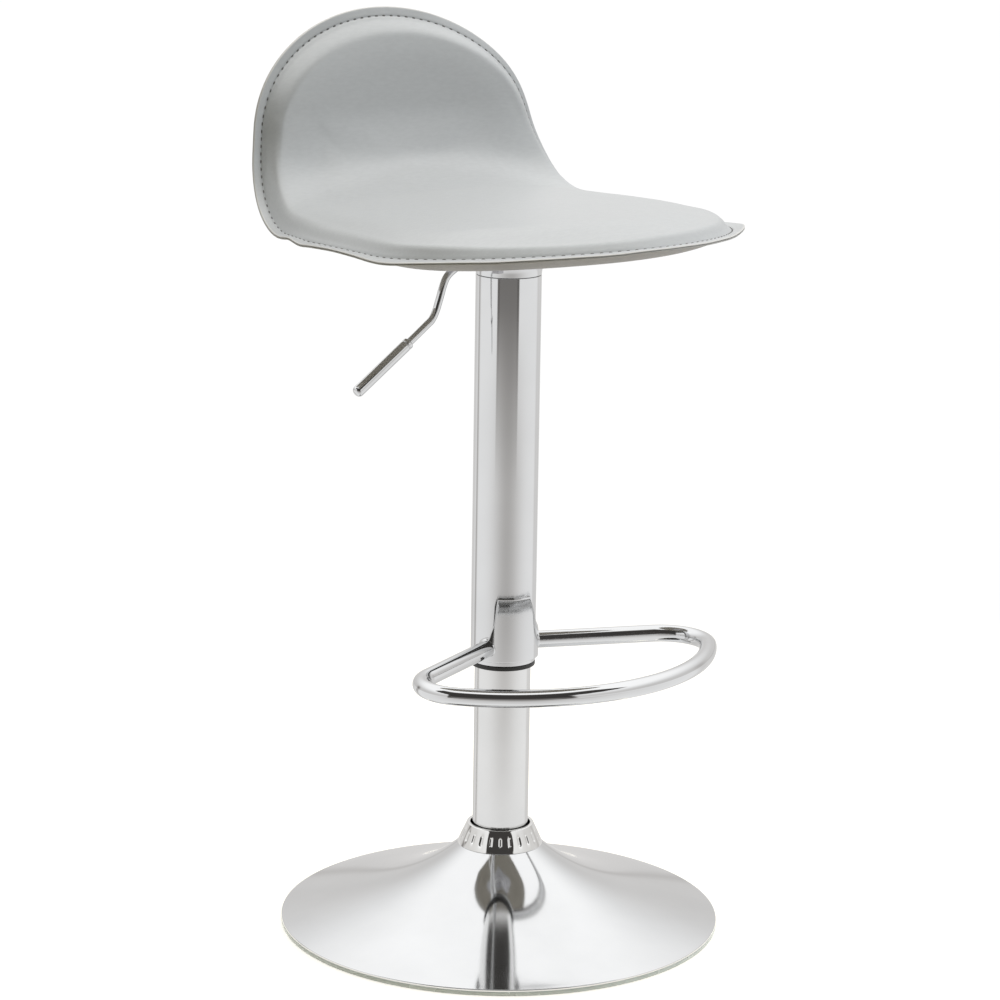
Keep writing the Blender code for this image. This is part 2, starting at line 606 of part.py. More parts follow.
def bolt_places():
    """Bolt centres under the seat."""
    half = PLATE_HALF - BOLT_MARGIN
    return [(sx * half, sy * half) for sx in (-1, 1) for sy in (-1, 1)]


def build_plate(frame, finishes):
    """Pressed seat plate with a dished middle, bolt holes and the lever's slot."""
    rim = [plate_edge(2 * math.pi * step / FINE) for step in range(FINE)]
    levels = [(rim, PLATE_TOP), ([PLATE_DISH_RADIUS] * FINE, PLATE_TOP),
              ([PLATE_FLOOR_RADIUS] * FINE, DISH_FLOOR_TOP), ([HUB_RADIUS + GAP] * FINE, DISH_FLOOR_TOP)]
    rows = [loop(reaches, height) for reaches, height in levels]
    rows += [loop(reaches, height - PLATE_THICKNESS) for reaches, height in reversed(levels)]
    plate = add_piece("seat_plate", stacked_mesh("seat_plate", rows), finishes["steel"], frame)
    slot = cutter("cutter_lever_slot", box_mesh("cutter_lever_slot", (
        -PLATE_DISH_RADIUS - 3 * LEVER_RADIUS, -SLOT_HALF_WIDTH, DISH_FLOOR_BOTTOM - PLATE_THICKNESS), (
        -HUB_RADIUS + 2 * GAP, SLOT_HALF_WIDTH, PLATE_TOP + PLATE_THICKNESS)), frame)
    cut(plate, slot)
    return plate


def build_sleeve(frame, finishes):
    """Sleeve with its slide bush and the flared cap that joins it to the seat plate."""
    chrome = finishes["chrome"]
    turned("sleeve", ring(SLEEVE_BORE, SLEEVE_RADIUS, SLEEVE_BOTTOM, SLEEVE_TOP), FINE, chrome, frame)
    slide = TUBE_RADIUS + SLIDE_GAP
    inside = SLEEVE_BORE - GAP
    lip_top = SLEEVE_BOTTOM - GAP
    bush_top = SLEEVE_BOTTOM + SLEEVE_BUSH_LENGTH
    turned("sleeve_bush", [
        (inside, bush_top), (inside, lip_top), (SLEEVE_RADIUS, lip_top),
        (SLEEVE_RADIUS, lip_top - SLEEVE_BUSH_LIP), (slide, lip_top - SLEEVE_BUSH_LIP), (slide, bush_top),
    ], FINE, finishes["black_plastic"], frame)

    flare_steps = 4
    flare = []
    for step in range(flare_steps + 1):
        turn = math.pi / 2 * step / flare_steps
        flare.append((SLEEVE_RADIUS + CAP_FLARE * (1 - math.cos(turn)), CAP_Z + CAP_HEIGHT * math.sin(turn)))
    spigot_bore = inside - CAP_SPIGOT_WALL
    cap = flare[::-1] + [
        (inside, CAP_Z), (inside, CAP_SPIGOT_Z), (spigot_bore, CAP_SPIGOT_Z),
        (spigot_bore, CAP_TOP - CAP_FLOOR), (HUB_RADIUS + GAP, CAP_TOP - CAP_FLOOR),
        (HUB_RADIUS + GAP, CAP_TOP),
    ]
    turned("sleeve_cap", cap, FINE, chrome, frame)


def around(angle, radius, height):
    """Point round the column, with angle 0 ahead of it and positive angles towards +X."""
    return Vector((radius * math.sin(angle), -radius * math.cos(angle), height))


def footrest_route():
    """Centreline of the foot-rest: two radial legs, two corners and a bow about the column."""
    corner = FOOTREST_RADIUS - FOOTREST_CORNER_RADIUS
    swing = math.asin(FOOTREST_CORNER_RADIUS / corner)
    bow = FOOTREST_LEG_ANGLE - swing
    leg_end = corner * math.cos(swing)
    half = [around(FOOTREST_LEG_ANGLE, SADDLE_RADIUS + SADDLE_THICKNESS + GAP, FOOTREST_HEIGHT)]
    centre = around(bow, corner, FOOTREST_HEIGHT)
    turn_from = FOOTREST_LEG_ANGLE + math.pi / 2
    corner_steps = 6
    half.append(around(FOOTREST_LEG_ANGLE, leg_end, FOOTREST_HEIGHT))
    for step in range(1, corner_steps + 1):
        turn = turn_from + (bow - turn_from) * step / corner_steps
        half.append(centre + around(turn, FOOTREST_CORNER_RADIUS, 0.0))
    bow_steps = 9
    for step in range(1, bow_steps):
        half.append(around(bow * (1 - step / bow_steps), FOOTREST_RADIUS, FOOTREST_HEIGHT))
    other = [Vector((-point.x, point.y, point.z)) for point in half]
    return other + [around(0.0, FOOTREST_RADIUS, FOOTREST_HEIGHT)] + half[::-1]


def saddle_rows():
    """Rows of (angle, height) points of the saddle plate: a band, and a tongue leaning above it."""
    low, high = SADDLE_WAIST
    wings = 3
    columns = 16
    left = [low - (SADDLE_BAND_ANGLE + low) * (1 - wing / wings) for wing in range(wings)]
    right = [high + (SADDLE_BAND_ANGLE - high) * (wing + 1) / wings for wing in range(wings)]
    shares = [column / columns for column in range(columns + 1)]
    waist = [low + (high - low) * share for share in shares]
    crest = [SADDLE_CREST[0] + (SADDLE_CREST[1] - SADDLE_CREST[0]) * share for share in shares]
    band = left + waist + right
    rows = [[(angle, height) for angle in band] for height in (SADDLE_BOTTOM, SADDLE_BAND_TOP)]
    tongue_rows = 5
    for row in range(1, tongue_rows + 1):
        share = row / tongue_rows
        height = SADDLE_BAND_TOP + (SADDLE_TOP - SADDLE_BAND_TOP) * share
        rows.append([(foot + (head - foot) * share, height) for foot, head in zip(waist, crest)])
    return rows, wings


def build_footrest(frame, finishes):
    """Saddle plate round the sleeve and the bent tube on it."""
    plan, wings = saddle_rows()
    bm = bmesh.new()
    skins = []
    for radius in (SADDLE_RADIUS, SADDLE_RADIUS + SADDLE_THICKNESS):
        rows = [[bm.verts.new(around(angle, radius, height)) for angle, height in row] for row in plan]
        for index, upper in enumerate(rows[1:]):
            lower = rows[index] if index != 1 else rows[1][wings:-wings]
            for column in range(len(upper) - 1):
                bm.faces.new((lower[column], lower[column + 1], upper[column + 1], upper[column]))
        tongue = rows[2:]
        skins.append(rows[0][::-1] + rows[1][:wings + 1] + [row[0] for row in tongue] + tongue[-1][1:]
                     + [row[-1] for row in tongue[-2::-1]] + rows[1][-wings - 1:])
    inner, outer = skins
    for index in range(len(inner)):
        following = (index + 1) % len(inner)
        bm.faces.new((inner[index], inner[following], outer[following], outer[index]))
    add_piece("footrest_saddle", mesh_from("footrest_saddle", bm), finishes["chrome"], frame)
    add_piece("footrest_ring", tube_mesh("footrest_ring", footrest_route(), FOOTREST_TUBE_RADIUS, SMALL),
              finishes["chrome"], frame)


def lever_route():
    """Centreline of the lever from its inner tail to the grip, from the pivot."""
    tail = Vector((LEVER_TAIL - LEVER_PIVOT.x, 0.0, LEVER_TAIL_RISE))
    knots = [tail, Vector((0.0, 0.0, 0.0))] + [Vector((x, 0.0, z)) for x, z in LEVER_ROUTE]
    fine = [knots[0]]
    for index in range(1, len(knots) - 2):
        before, start, end, after = knots[index - 1:index + 3]
        for step in range(LEVER_ROUTE_STEPS):
            t = step / LEVER_ROUTE_STEPS
            fine.append(0.5 * (2 * start + (end - before) * t
                               + (2 * before - 5 * start + 4 * end - after) * t ** 2
                               + (3 * start - before - 3 * end + after) * t ** 3))
    return fine + knots[-2:]


def build_lever(pivot, carriage, finishes):
    """Lift lever and its grip on the pivot, and the ears and pin that carry it."""
    route = lever_route()
    along = GRIP_END - route[-1]
    rod_end = route[-1] + along * GRIP_ROD_SHARE
    rod = add_piece("lever_rod", tube_mesh("lever_rod", route + [rod_end], LEVER_RADIUS, SMALL),
                    finishes["chrome"], pivot)
    reach = 3 * LEVER_RADIUS
    bore = cutter("cutter_lever_pin", turned_mesh("cutter_lever_pin", [
        (0.0, reach), (LEVER_PIN_RADIUS + SLIDE_GAP, reach), (LEVER_PIN_RADIUS + SLIDE_GAP, -reach),
        (0.0, -reach)], SMALL), pivot)
    bore.rotation_euler = (math.pi / 2, 0.0, 0.0)
    cut(rod, bore)

    length = along.length
    hole = LEVER_RADIUS + GAP
    hole_end = length * GRIP_SOCKET_SHARE
    nose_steps = 3
    nose = [(GRIP_RADIUS - GRIP_NOSE * (1 - math.cos(turn)), length - GRIP_NOSE * (1 - math.sin(turn)))
            for turn in (math.pi / 2 * step / nose_steps for step in range(nose_steps + 1))]
    grip = add_piece("lever_grip", turned_mesh("lever_grip", [
        (0.0, length)] + nose[::-1] + [(GRIP_RADIUS, 0.0), (hole, 0.0), (hole, hole_end), (0.0, hole_end)],
        COARSE), finishes["chrome"], pivot)
    grip.location = route[-1]
    grip.rotation_euler = Vector((0, 0, 1)).rotation_difference(along).to_euler()

    ear_inner = LEVER_RADIUS + LEVER_SIDE_GAP + GAP
    ear_outer = ear_inner + EAR_THICKNESS
    for number, side in enumerate((-1, 1), start=1):
        y_low, y_high = sorted((side * ear_inner, side * ear_outer))
        ear = add_piece(f"lever_ear_{number}", box_mesh("lever_ear", (
            LEVER_PIVOT.x - EAR_HALF_LENGTH, y_low, DISH_FLOOR_TOP + GAP), (
            LEVER_PIVOT.x + EAR_HALF_LENGTH, y_high, LEVER_PIVOT.z + EAR_ABOVE_PIVOT)),
            finishes["steel"], carriage)
        cut(ear, bore)
    half = ear_outer + LEVER_PIN_RADIUS
    pin = add_piece("lever_pin", turned_mesh("lever_pin", [
        (0.0, half), (LEVER_PIN_RADIUS, half), (LEVER_PIN_RADIUS, -half), (0.0, -half)], SMALL),
        finishes["steel"], carriage)
    pin.location = LEVER_PIVOT
    pin.rotation_euler = (math.pi / 2, 0.0, 0.0)


def build_release_pin(frame, finishes):
    """Valve pin that the lever's tail presses down."""
    turned("release_pin", [(0.0, PIN_TOP), (PIN_RADIUS, PIN_TOP), (PIN_RADIUS, PIN_TOP - PIN_LENGTH),
                           (0.0, PIN_TOP - PIN_LENGTH)], SMALL, finishes["steel"], frame)


def seat_profile():
    """Side profile of the sewn edge's surface: points (y, z), normals and distance along it."""
    lift = SEAT_FRONT - FRONT_LIFT_START
    front = [(-FRONT_LIFT_START - lift * (1 - t), SEAT_HEIGHT + FRONT_LIFT * (1 - t) ** FRONT_LIFT_POWER)
             for t in np.linspace(0, 1, PROFILE_STEPS)]
    turn = math.pi / 2 - BACK_RECLINE
    reach = BEND_RADIUS * math.tan(turn / 2)
    corner = BACK_TOP_REACH - BACK_RISE * math.tan(BACK_RECLINE)
    start = corner - reach
    bend = [(start + BEND_RADIUS * math.sin(a), SEAT_HEIGHT + BEND_RADIUS * (1 - math.cos(a)))
            for a in np.linspace(0, turn, PROFILE_STEPS)]
    points = np.array(front + bend + [(BACK_TOP_REACH, BACK_TOP_HEIGHT)])
    along = np.concatenate([[0.0], np.cumsum(np.linalg.norm(np.diff(points, axis=0), axis=1))])
    fine = np.linspace(0.0, along[-1], PROFILE_SAMPLES)
    curve = np.stack([np.interp(fine, along, points[:, axis]) for axis in (0, 1)], axis=1)
    slope = np.gradient(curve, axis=0)
    normal = np.stack([-slope[:, 1], slope[:, 0]], axis=1)
    normal /= np.linalg.norm(normal, axis=1)[:, None]
    bend_start = float(np.interp(start, curve[:, 0], fine))
    return fine, curve, normal, bend_start, bend_start + BEND_RADIUS * turn


class SeatForm:
    """Outline and sections of the one-piece seat and back."""

    def __init__(self):
        self.along, self.curve, self.normal, self.bend_start, self.bend_end = seat_profile()
        self.length = float(self.along[-1])
        self.edge = self.outline()
        self.inward = self.edge_normals()

    def half_width(self, s):
        """Half width of the seat at a distance along its profile."""
        narrow_from, narrow_to = self.bend_start - TAPER_LEAD, self.length - TOP_ROUND
        width = np.interp(s, [narrow_from, narrow_to], [SEAT_HALF_WIDTH, BACK_HALF_WIDTH])
        front = np.clip((FRONT_ROUND - s) / FRONT_ROUND, 0, 1)
        top = np.clip((s - narrow_to) / TOP_ROUND, 0, 1)
        width = width * (1 - front ** FRONT_ROUND_POWER) ** (1 / FRONT_ROUND_POWER)
        return width * (1 - top ** TOP_ROUND_POWER) ** (1 / TOP_ROUND_POWER)

    def outline(self):
        """Evenly spaced points (s, x) round the edge, front first, +X side first."""
        t = np.linspace(0, math.pi, OUTLINE_SAMPLES)
        s = self.length / 2 * (1 - np.cos(t))
        side = np.stack([s, self.half_width(s)], axis=1)
        run = np.concatenate([[0.0], np.cumsum(np.linalg.norm(np.diff(side, axis=0), axis=1))])
        places = np.linspace(0, run[-1], EDGE_POINTS + 1)
        even = np.stack([np.interp(places, run, side[:, axis]) for axis in (0, 1)], axis=1)
        mirrored = even[-2:0:-1] * np.array([1, -1])
        return np.concatenate([even, mirrored])

    def edge_normals(self):
        """Inward normals of the outline in its own plane."""
        run = np.roll(self.edge, -1, axis=0) - np.roll(self.edge, 1, axis=0)
        inward = np.stack([run[:, 1], -run[:, 0]], axis=1)
        return inward / np.linalg.norm(inward, axis=1)[:, None]

    def place(self, s, x, height):
        """Point in space at (s, x) on the sewn edge's surface, raised along its normal."""
        y, z = (np.interp(s, self.along, self.curve[:, axis]) for axis in (0, 1))
        ny, nz = (np.interp(s, self.along, self.normal[:, axis]) for axis in (0, 1))
        share = np.clip((s - self.bend_start) / (self.bend_end - self.bend_start), 0, 1)
        dish = BACK_DISH * share ** 2 * (3 - 2 * share) * (x / BACK_HALF_WIDTH) ** 2
        raised = height + dish
        return Vector((x, y + ny * raised, z + nz * raised))

    def skin(self, bm, insets, height):
        """Rows of vertices from the edge inwards, then the ridge that closes them."""
        rows = []
        for inset in insets:
            flat = self.edge + self.inward * inset
            rows.append([bm.verts.new(self.place(s, x, height(inset))) for s, x in flat])
        last = self.edge + self.inward * insets[-1]
        ridge = np.clip(self.edge[:, 0], SPINE_INSET, self.length - SPINE_INSET)
        deep = np.minimum(np.abs(self.edge[:, 1]), SEAT_HALF_WIDTH)
        deep = np.maximum(deep, SPINE_INSET)
        middle = (last + np.stack([ridge, np.zeros_like(ridge)], axis=1)) / 2
        rows.append([bm.verts.new(self.place(s, x, height((insets[-1] + d) / 2)))
                     for (s, x), d in zip(middle, deep)])
        spine = {}
        row = []
        for s in ridge:
            key = round(float(s), 6)
            if key not in spine:
                spine[key] = bm.verts.new(self.place(s, 0.0, height(SEAT_HALF_WIDTH)))
            row.append(spine[key])
        rows.append(row)
        for outer, inner in zip(rows, rows[1:]):
            for index in range(len(outer)):
                following = (index + 1) % len(outer)
                bm.faces.new((outer[index], outer[following], inner[index]))
                if inner[index] is not inner[following]:
                    bm.faces.new((outer[following], inner[following], inner[index]))
        return rows[0]

    def solid(self, name, top_insets, top, low_insets, low):
        """Closed mesh between two skins, joined round their edges."""
        bm = bmesh.new()
        upper = self.skin(bm, top_insets, top)
        lower = self.skin(bm, low_insets, low)
        for index in range(len(upper)):
            following = (index + 1) % len(upper)
            bm.faces.new((upper[index], lower[index], lower[following]))
            bm.faces.new((upper[index], lower[following], upper[following]))
        return mesh_from(name, bm)


def pad_top(inset):
    """Height of the pad: flat sewn edge, round shoulder and soft crown."""
    share = min(max((inset - FLANGE_WIDTH) / PAD_SHOULDER, 0.0), 1.0)
    crown = PAD_CROWN * min(max(inset - FLANGE_WIDTH, 0.0) / SEAT_HALF_WIDTH, 1.0)
    return FLANGE_LAYER + PAD_RISE * math.sqrt(1 - (1 - share) ** 2) + crown


def bowl(inset, depth):
    """Shallow bowl that starts inside the sewn edge."""
    share = min(max((inset - FLANGE_WIDTH) / UNDER_SPAN, 0.0), 1.0)
    return -depth * (1 - (1 - share) ** 2)


def core_top(inset):
    """Upper face of the moulded core."""
    return bowl(inset, CORE_SINK)


def cover_low(inset):
    """Outer face of the cover below and behind."""
    return bowl(inset, UNDER_DEPTH) - FLANGE_LAYER


def core_low(inset):
    """Lower face of the moulded core, inside the cover."""
    return cover_low(inset) + UNDER_SKIN


def build_seat(plate, frame, finishes):
    """Core, pad, under cover and the bolts that hold them on the seat plate."""
    form = SeatForm()
    flat = FLANGE_WIDTH + UNDER_SPAN
    seam = CORE_MARGIN - 2 * GAP
    spread = [(step / INNER_RINGS) ** INNER_RING_GROWTH for step in range(INNER_RINGS + 1)]
    inner = [CORE_MARGIN + (flat - CORE_MARGIN) * share for share in spread]
    round_off = [(step / SHOULDER_RINGS) ** 2 for step in range(SHOULDER_RINGS + 1)]
    shoulder = [FLANGE_WIDTH + PAD_SHOULDER * share for share in round_off]
    outer = [0.0, FLANGE_WIDTH, seam]
    half_gap = GAP / 2

    def seam_height(inset):
        middle = (core_top(CORE_MARGIN) + core_low(CORE_MARGIN)) / 2
        return middle * max(inset - FLANGE_WIDTH, 0.0) / (seam - FLANGE_WIDTH)

    def pad_low(inset):
        return core_top(inset) + GAP if inset > seam else seam_height(inset) + half_gap

    def cover_top(inset):
        return core_low(inset) - GAP if inset > seam else seam_height(inset) - half_gap

    core = add_piece("seat_core", form.solid("seat_core", inner, core_top, inner, core_low),
                     finishes["core"], frame)
    upper, lower = [0.0] + shoulder + inner[-2:], outer + inner
    add_piece("seat_pad", form.solid("seat_pad", upper, pad_top, lower, pad_low),
              finishes["leatherette"], frame)
    cover = add_piece("under_cover", form.solid("under_cover", lower, cover_top, lower, cover_low),
                      finishes["leatherette"], frame)
    build_fasteners(plate, cover, core, frame, finishes["steel"])


def build_fasteners(plate, cover, core, frame, steel):
    """Bolt, spring washer and tee nut at each corner of the seat plate."""
    washer_low = PLATE_RIM_BOTTOM - GAP - SPRING_WASHER_THICKNESS
    head_top = washer_low - GAP
    flange_top = SEAT_HEIGHT - CORE_SINK - 2 * GAP
    flange_low = flange_top - TEE_NUT_FLANGE
    bolt_top = flange_top - GAP
    bore = BOLT_RADIUS + GAP
    for number, (x, y) in enumerate(bolt_places(), start=1):
        bolt = add_piece(f"seat_bolt_{number}", stacked_mesh("seat_bolt", [
            loop([0.0] * SMALL, bolt_top), loop([BOLT_RADIUS] * SMALL, bolt_top),
            loop([BOLT_RADIUS] * SMALL, head_top),
            hexagon(BOLT_HEAD_RADIUS, head_top), hexagon(BOLT_HEAD_RADIUS, head_top - BOLT_HEAD_HEIGHT),
            loop([0.0] * SMALL, head_top - BOLT_HEAD_HEIGHT)], hollow=False), steel, frame)
        washer = turned(f"spring_washer_{number}", ring(bore, SPRING_WASHER_RADIUS, washer_low,
                                                        washer_low + SPRING_WASHER_THICKNESS), SMALL,
                        steel, frame)
        nut = turned(f"tee_nut_{number}", [
            (TEE_NUT_RADIUS, flange_top), (TEE_NUT_RADIUS, flange_low), (TEE_NUT_BARREL_RADIUS, flange_low),
            (TEE_NUT_BARREL_RADIUS, flange_top - TEE_NUT_LENGTH), (bore, flange_top - TEE_NUT_LENGTH),
            (bore, flange_top),
        ], SMALL, steel, frame)
        hole = cutter(f"cutter_bolt_{number}", turned_mesh("cutter_bolt", [
            (0.0, SEAT_HEIGHT), (bore, SEAT_HEIGHT), (bore, head_top), (0.0, head_top)], SMALL), frame)
        room = cutter(f"cutter_tee_nut_{number}", turned_mesh("cutter_tee_nut", [
            (0.0, flange_top + CORE_SINK), (TEE_NUT_RADIUS + GAP, flange_top + CORE_SINK),
            (TEE_NUT_RADIUS + GAP, flange_low - GAP), (TEE_NUT_BARREL_RADIUS + GAP, flange_low - GAP),
            (TEE_NUT_BARREL_RADIUS + GAP, PLATE_TOP - CORE_SINK), (0.0, PLATE_TOP - CORE_SINK),
        ], SMALL), frame)
        for piece in (bolt, washer, nut, hole, room):
            piece.location = (x, y, 0.0)
        cut(plate, hole)
        cut(cover, hole)
        cut(core, room)


def main():
    """Build every piece of the stool."""
    for old in list(bpy.data.objects):
        bpy.data.objects.remove(old, do_unlink=True)
    finishes = {
        "chrome": finish("chrome", (0.80, 0.80, 0.80), 0.06, 1.0),
        "chrome_plastic": finish("chrome_plastic", (0.82, 0.82, 0.81), 0.08, 1.0),
        "satin_steel": finish("satin_steel", (0.70, 0.70, 0.70), 0.32, 1.0),
        "steel": finish("steel", (0.50, 0.50, 0.51), 0.38, 1.0),
        "black_steel": finish("black_steel", (0.03, 0.03, 0.03), 0.40, 0.6),
        "brass": finish("brass", (0.70, 0.55, 0.25), 0.30, 1.0),
        "black_plastic": finish("black_plastic", (0.02, 0.02, 0.02), 0.45, 0.0),
        "clear_plastic": finish("clear_plastic", (0.72, 0.80, 0.77), 0.25, 0.0),
        "rubber": finish("rubber", (0.03, 0.03, 0.03), 0.80, 0.0),
        "core": finish("core", (0.50, 0.38, 0.24), 0.70, 0.0),
        "leatherette": finish("leatherette", (0.45, 0.46, 0.47), 0.42, 0.0),
    }
    standing = axis_empty("standing_frame", (0.0, 0.0, 0.0))
    bearing = axis_empty("bearing_axis", (0.0, 0.0, 0.0))
    swivel = axis_empty("swivel_axis", (0.0, 0.0, 0.0))
    lift = axis_empty("lift_axis", (0.0, 0.0, 0.0))
    lever = axis_empty("lever_axis", LEVER_PIVOT)
    valve = axis_empty("valve_axis", (0.0, 0.0, 0.0))
    build_base(standing, finishes)
    build_column(standing, finishes)
    build_bearing(bearing, finishes)
    build_rod(swivel, finishes)
    build_cylinder(lift, finishes)
    plate = build_plate(lift, finishes)
    build_sleeve(lift, finishes)
    build_footrest(lift, finishes)
    build_lever(lever, lift, finishes)
    build_release_pin(valve, finishes)
    build_seat(plate, lift, finishes)


main()
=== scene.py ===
"""Looks of the swivel bar stool: chromed trumpet base and column, foot-rest, lift lever and padded seat.

Metres, +Z up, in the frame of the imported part: the origin is on the floor on the column's axis, the
sitter faces -Y and the lift lever is at -X.
"""

import json
import logging
import math
from dataclasses import dataclass, field
from enum import Enum
from typing import Callable, Iterable, Sequence

import bmesh
import bpy
import numpy as np
from mathutils import Matrix, Vector

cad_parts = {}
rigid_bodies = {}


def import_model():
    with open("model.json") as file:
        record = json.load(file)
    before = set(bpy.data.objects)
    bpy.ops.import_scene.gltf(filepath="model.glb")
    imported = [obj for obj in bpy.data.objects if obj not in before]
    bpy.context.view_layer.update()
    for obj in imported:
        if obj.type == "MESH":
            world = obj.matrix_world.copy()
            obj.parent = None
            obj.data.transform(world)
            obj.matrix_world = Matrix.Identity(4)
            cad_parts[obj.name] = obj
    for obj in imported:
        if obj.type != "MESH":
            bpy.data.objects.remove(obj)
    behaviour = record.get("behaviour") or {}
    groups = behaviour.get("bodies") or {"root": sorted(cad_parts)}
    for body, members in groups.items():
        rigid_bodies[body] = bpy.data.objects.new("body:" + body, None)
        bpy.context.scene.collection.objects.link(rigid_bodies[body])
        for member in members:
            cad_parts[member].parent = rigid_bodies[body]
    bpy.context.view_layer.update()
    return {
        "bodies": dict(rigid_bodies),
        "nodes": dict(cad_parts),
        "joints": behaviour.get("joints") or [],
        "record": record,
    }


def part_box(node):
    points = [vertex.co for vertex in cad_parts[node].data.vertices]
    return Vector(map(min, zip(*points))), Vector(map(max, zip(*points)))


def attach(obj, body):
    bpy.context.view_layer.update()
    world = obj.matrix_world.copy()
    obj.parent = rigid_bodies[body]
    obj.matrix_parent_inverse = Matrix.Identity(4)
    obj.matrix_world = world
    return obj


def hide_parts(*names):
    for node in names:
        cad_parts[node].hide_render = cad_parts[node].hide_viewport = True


LOG = logging.getLogger("bar_stool")

Pair = tuple[float, float]
Triple = tuple[float, float, float]
Colour = Triple
Triples = tuple[Triple, ...]
Values = float | np.ndarray
Heights = Callable[[Values], Values]    # height on the seat, by its inset from the edge
Socket = bpy.types.NodeSocket

TURN_STEPS = 96                 # facets round a turned piece
CREASE = math.radians(35)       # edges sharper than this stay sharp
FIT = 0.0003                    # gap between pieces that touch in the real object
MERGE = 1e-6                    # points closer than this are one
UP = Vector((0.0, 0.0, 1.0))
EVEN = (1.0, 1.0, 1.0)          # the same scale along each axis
WHITE = (1.0, 1.0, 1.0)
BLACK = (0.0, 0.0, 0.0)
MIDDLE = (0.3, 0.7)             # where most of a noise lies
WHOLE = (0.0, 1.0)


class Slot(Enum):
    """Material slots of the part's record."""

    CHROME = "chrome"
    CHROME_PLASTIC = "chrome_plastic"
    SATIN_STEEL = "satin_steel"
    STEEL = "steel"
    BLACK_STEEL = "black_steel"
    BRASS = "brass"
    BLACK_PLASTIC = "black_plastic"
    CLEAR_PLASTIC = "clear_plastic"
    RUBBER = "rubber"
    CORE = "core"
    LEATHERETTE = "leatherette"


class Body(Enum):
    """Bodies that the new pieces ride on."""

    BASE = "base"
    CARRIAGE = "carriage"
    LEVER = "lever"


def unit(value: Values) -> Values:
    """Value held between 0 and 1."""
    return np.clip(value, 0.0, 1.0)


def ease(value: Values, low: Values = 0.0, high: Values = 1.0) -> Values:
    """Smooth step from 0 at low to 1 at high."""
    share = unit((value - low) / (high - low))
    return share * share * (3 - 2 * share)


def bell(away: Values, width: float) -> Values:
    """Bell curve: 1 in the middle, 0.6 one width away."""
    return np.exp(-0.5 * (away / width) ** 2)


def spaced(start: float, end: float, steps: int, power: float = 1.0) -> list[float]:
    """Values from start to end. With a power above 1 they crowd at the start."""
    return [start + (end - start) * (step / steps) ** power for step in range(steps + 1)]


def unit_rows(rows: np.ndarray) -> np.ndarray:
    """Rows scaled to a length of 1."""
    return rows / np.linalg.norm(rows, axis=1)[:, None]


def distances(points: np.ndarray) -> np.ndarray:
    """Distance of each point along a line, from 0 at the first."""
    return np.concatenate([[0.0], np.cumsum(np.linalg.norm(np.diff(points, axis=0), axis=1))])


def sample(at: np.ndarray, run: np.ndarray, points: np.ndarray) -> np.ndarray:
    """Points at the distances "at" along a line whose points lie at the distances "run"."""
    return np.stack([np.interp(at, run, column) for column in points.T], axis=1)


def arc(centre: Pair, radius: Pair, start: float, end: float, steps: int) -> list[Pair]:
    """Points of an elliptic arc in a section.

    Args:
        centre: Centre as (radius, height).
        radius: Half axes along the radius and the height.
        start: First angle in degrees, from the outward direction.
        end: Last angle in degrees.
        steps: Number of steps.

    Returns:
        The arc's points in order.
    """
    turns = [math.radians(turn) for turn in spaced(start, end, steps)]
    return [(centre[0] + radius[0] * math.cos(t), centre[1] + radius[1] * math.sin(t)) for t in turns]


def node_ring(node: str) -> Triple:
    """Outer radius, lowest and highest point of a turned CAD node."""
    low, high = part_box(node)
    return max(high.x, high.y), low.z, high.z


class Nodes:
    """Node tree of a material or of the world."""

    def __init__(self, tree: bpy.types.NodeTree) -> None:
        """Take the tree that nodes are added to."""
        self.tree = tree

    def put(self, socket: Socket, value: object) -> None:
        """Give an input a value, or link it to an output.

        Args:
            socket: The input.
            value: A plain value or an output socket.
        """
        if isinstance(value, Socket):
            self.tree.links.new(value, socket)
        else:
            socket.default_value = value

    def node(self, kind: str, *ordered: object, **named: object) -> bpy.types.Node:
        """Add a node with its settings and inputs.

        Args:
            kind: Node type without its "ShaderNode" prefix.
            ordered: Values or output sockets of the first inputs.
            named: Settings by their lower-case names, and values or output sockets by the input's name, with
                _ for a space.

        Returns:
            The new node.
        """
        node = self.tree.nodes.new("ShaderNode" + kind)
        for index, value in enumerate(ordered):
            self.put(node.inputs[index], value)
        for name, value in named.items():
            if name.islower():
                setattr(node, name, value)
            else:
                self.put(node.inputs[name.replace("_", " ")], value)
        return node

    def blend(self, factor: Socket, low: Colour, high: Colour, span: Pair = MIDDLE,
              easing: str = "LINEAR") -> Socket:
        """Colour that runs from low to high as a factor crosses a span.

        Args:
            factor: The factor.
            low: Colour below the span.
            high: Colour above the span.
            span: Values of the factor between which the colour changes.
            easing: The ramp's interpolation.

        Returns:
            The colour.
        """
        ramp = self.node("ValToRGB", factor)
        ramp.color_ramp.interpolation = easing
        for stop, position, colour in zip(ramp.color_ramp.elements, span, (low, high)):
            stop.position, stop.color = position, (*colour, 1.0)
        return ramp.outputs["Color"]

    def spread(self, factor: Socket, low: float, high: float, span: Pair = MIDDLE) -> Socket:
        """Number that runs from low to high as a factor crosses a span."""
        return self.node("MapRange", factor, *span, low, high).outputs["Result"]

    def mix(self, factor: Socket, low: object, high: object) -> Socket:
        """Mix two colours.

        Args:
            factor: The share of the second colour.
            low: First colour, as a value or a socket.
            high: Second colour, as a value or a socket.

        Returns:
            The mixed colour.
        """
        node = self.node("Mix", factor, data_type="RGBA")   # its colours are inputs 6 and 7 and output 2
        self.put(node.inputs[6], low)
        self.put(node.inputs[7], high)
        return node.outputs[2]


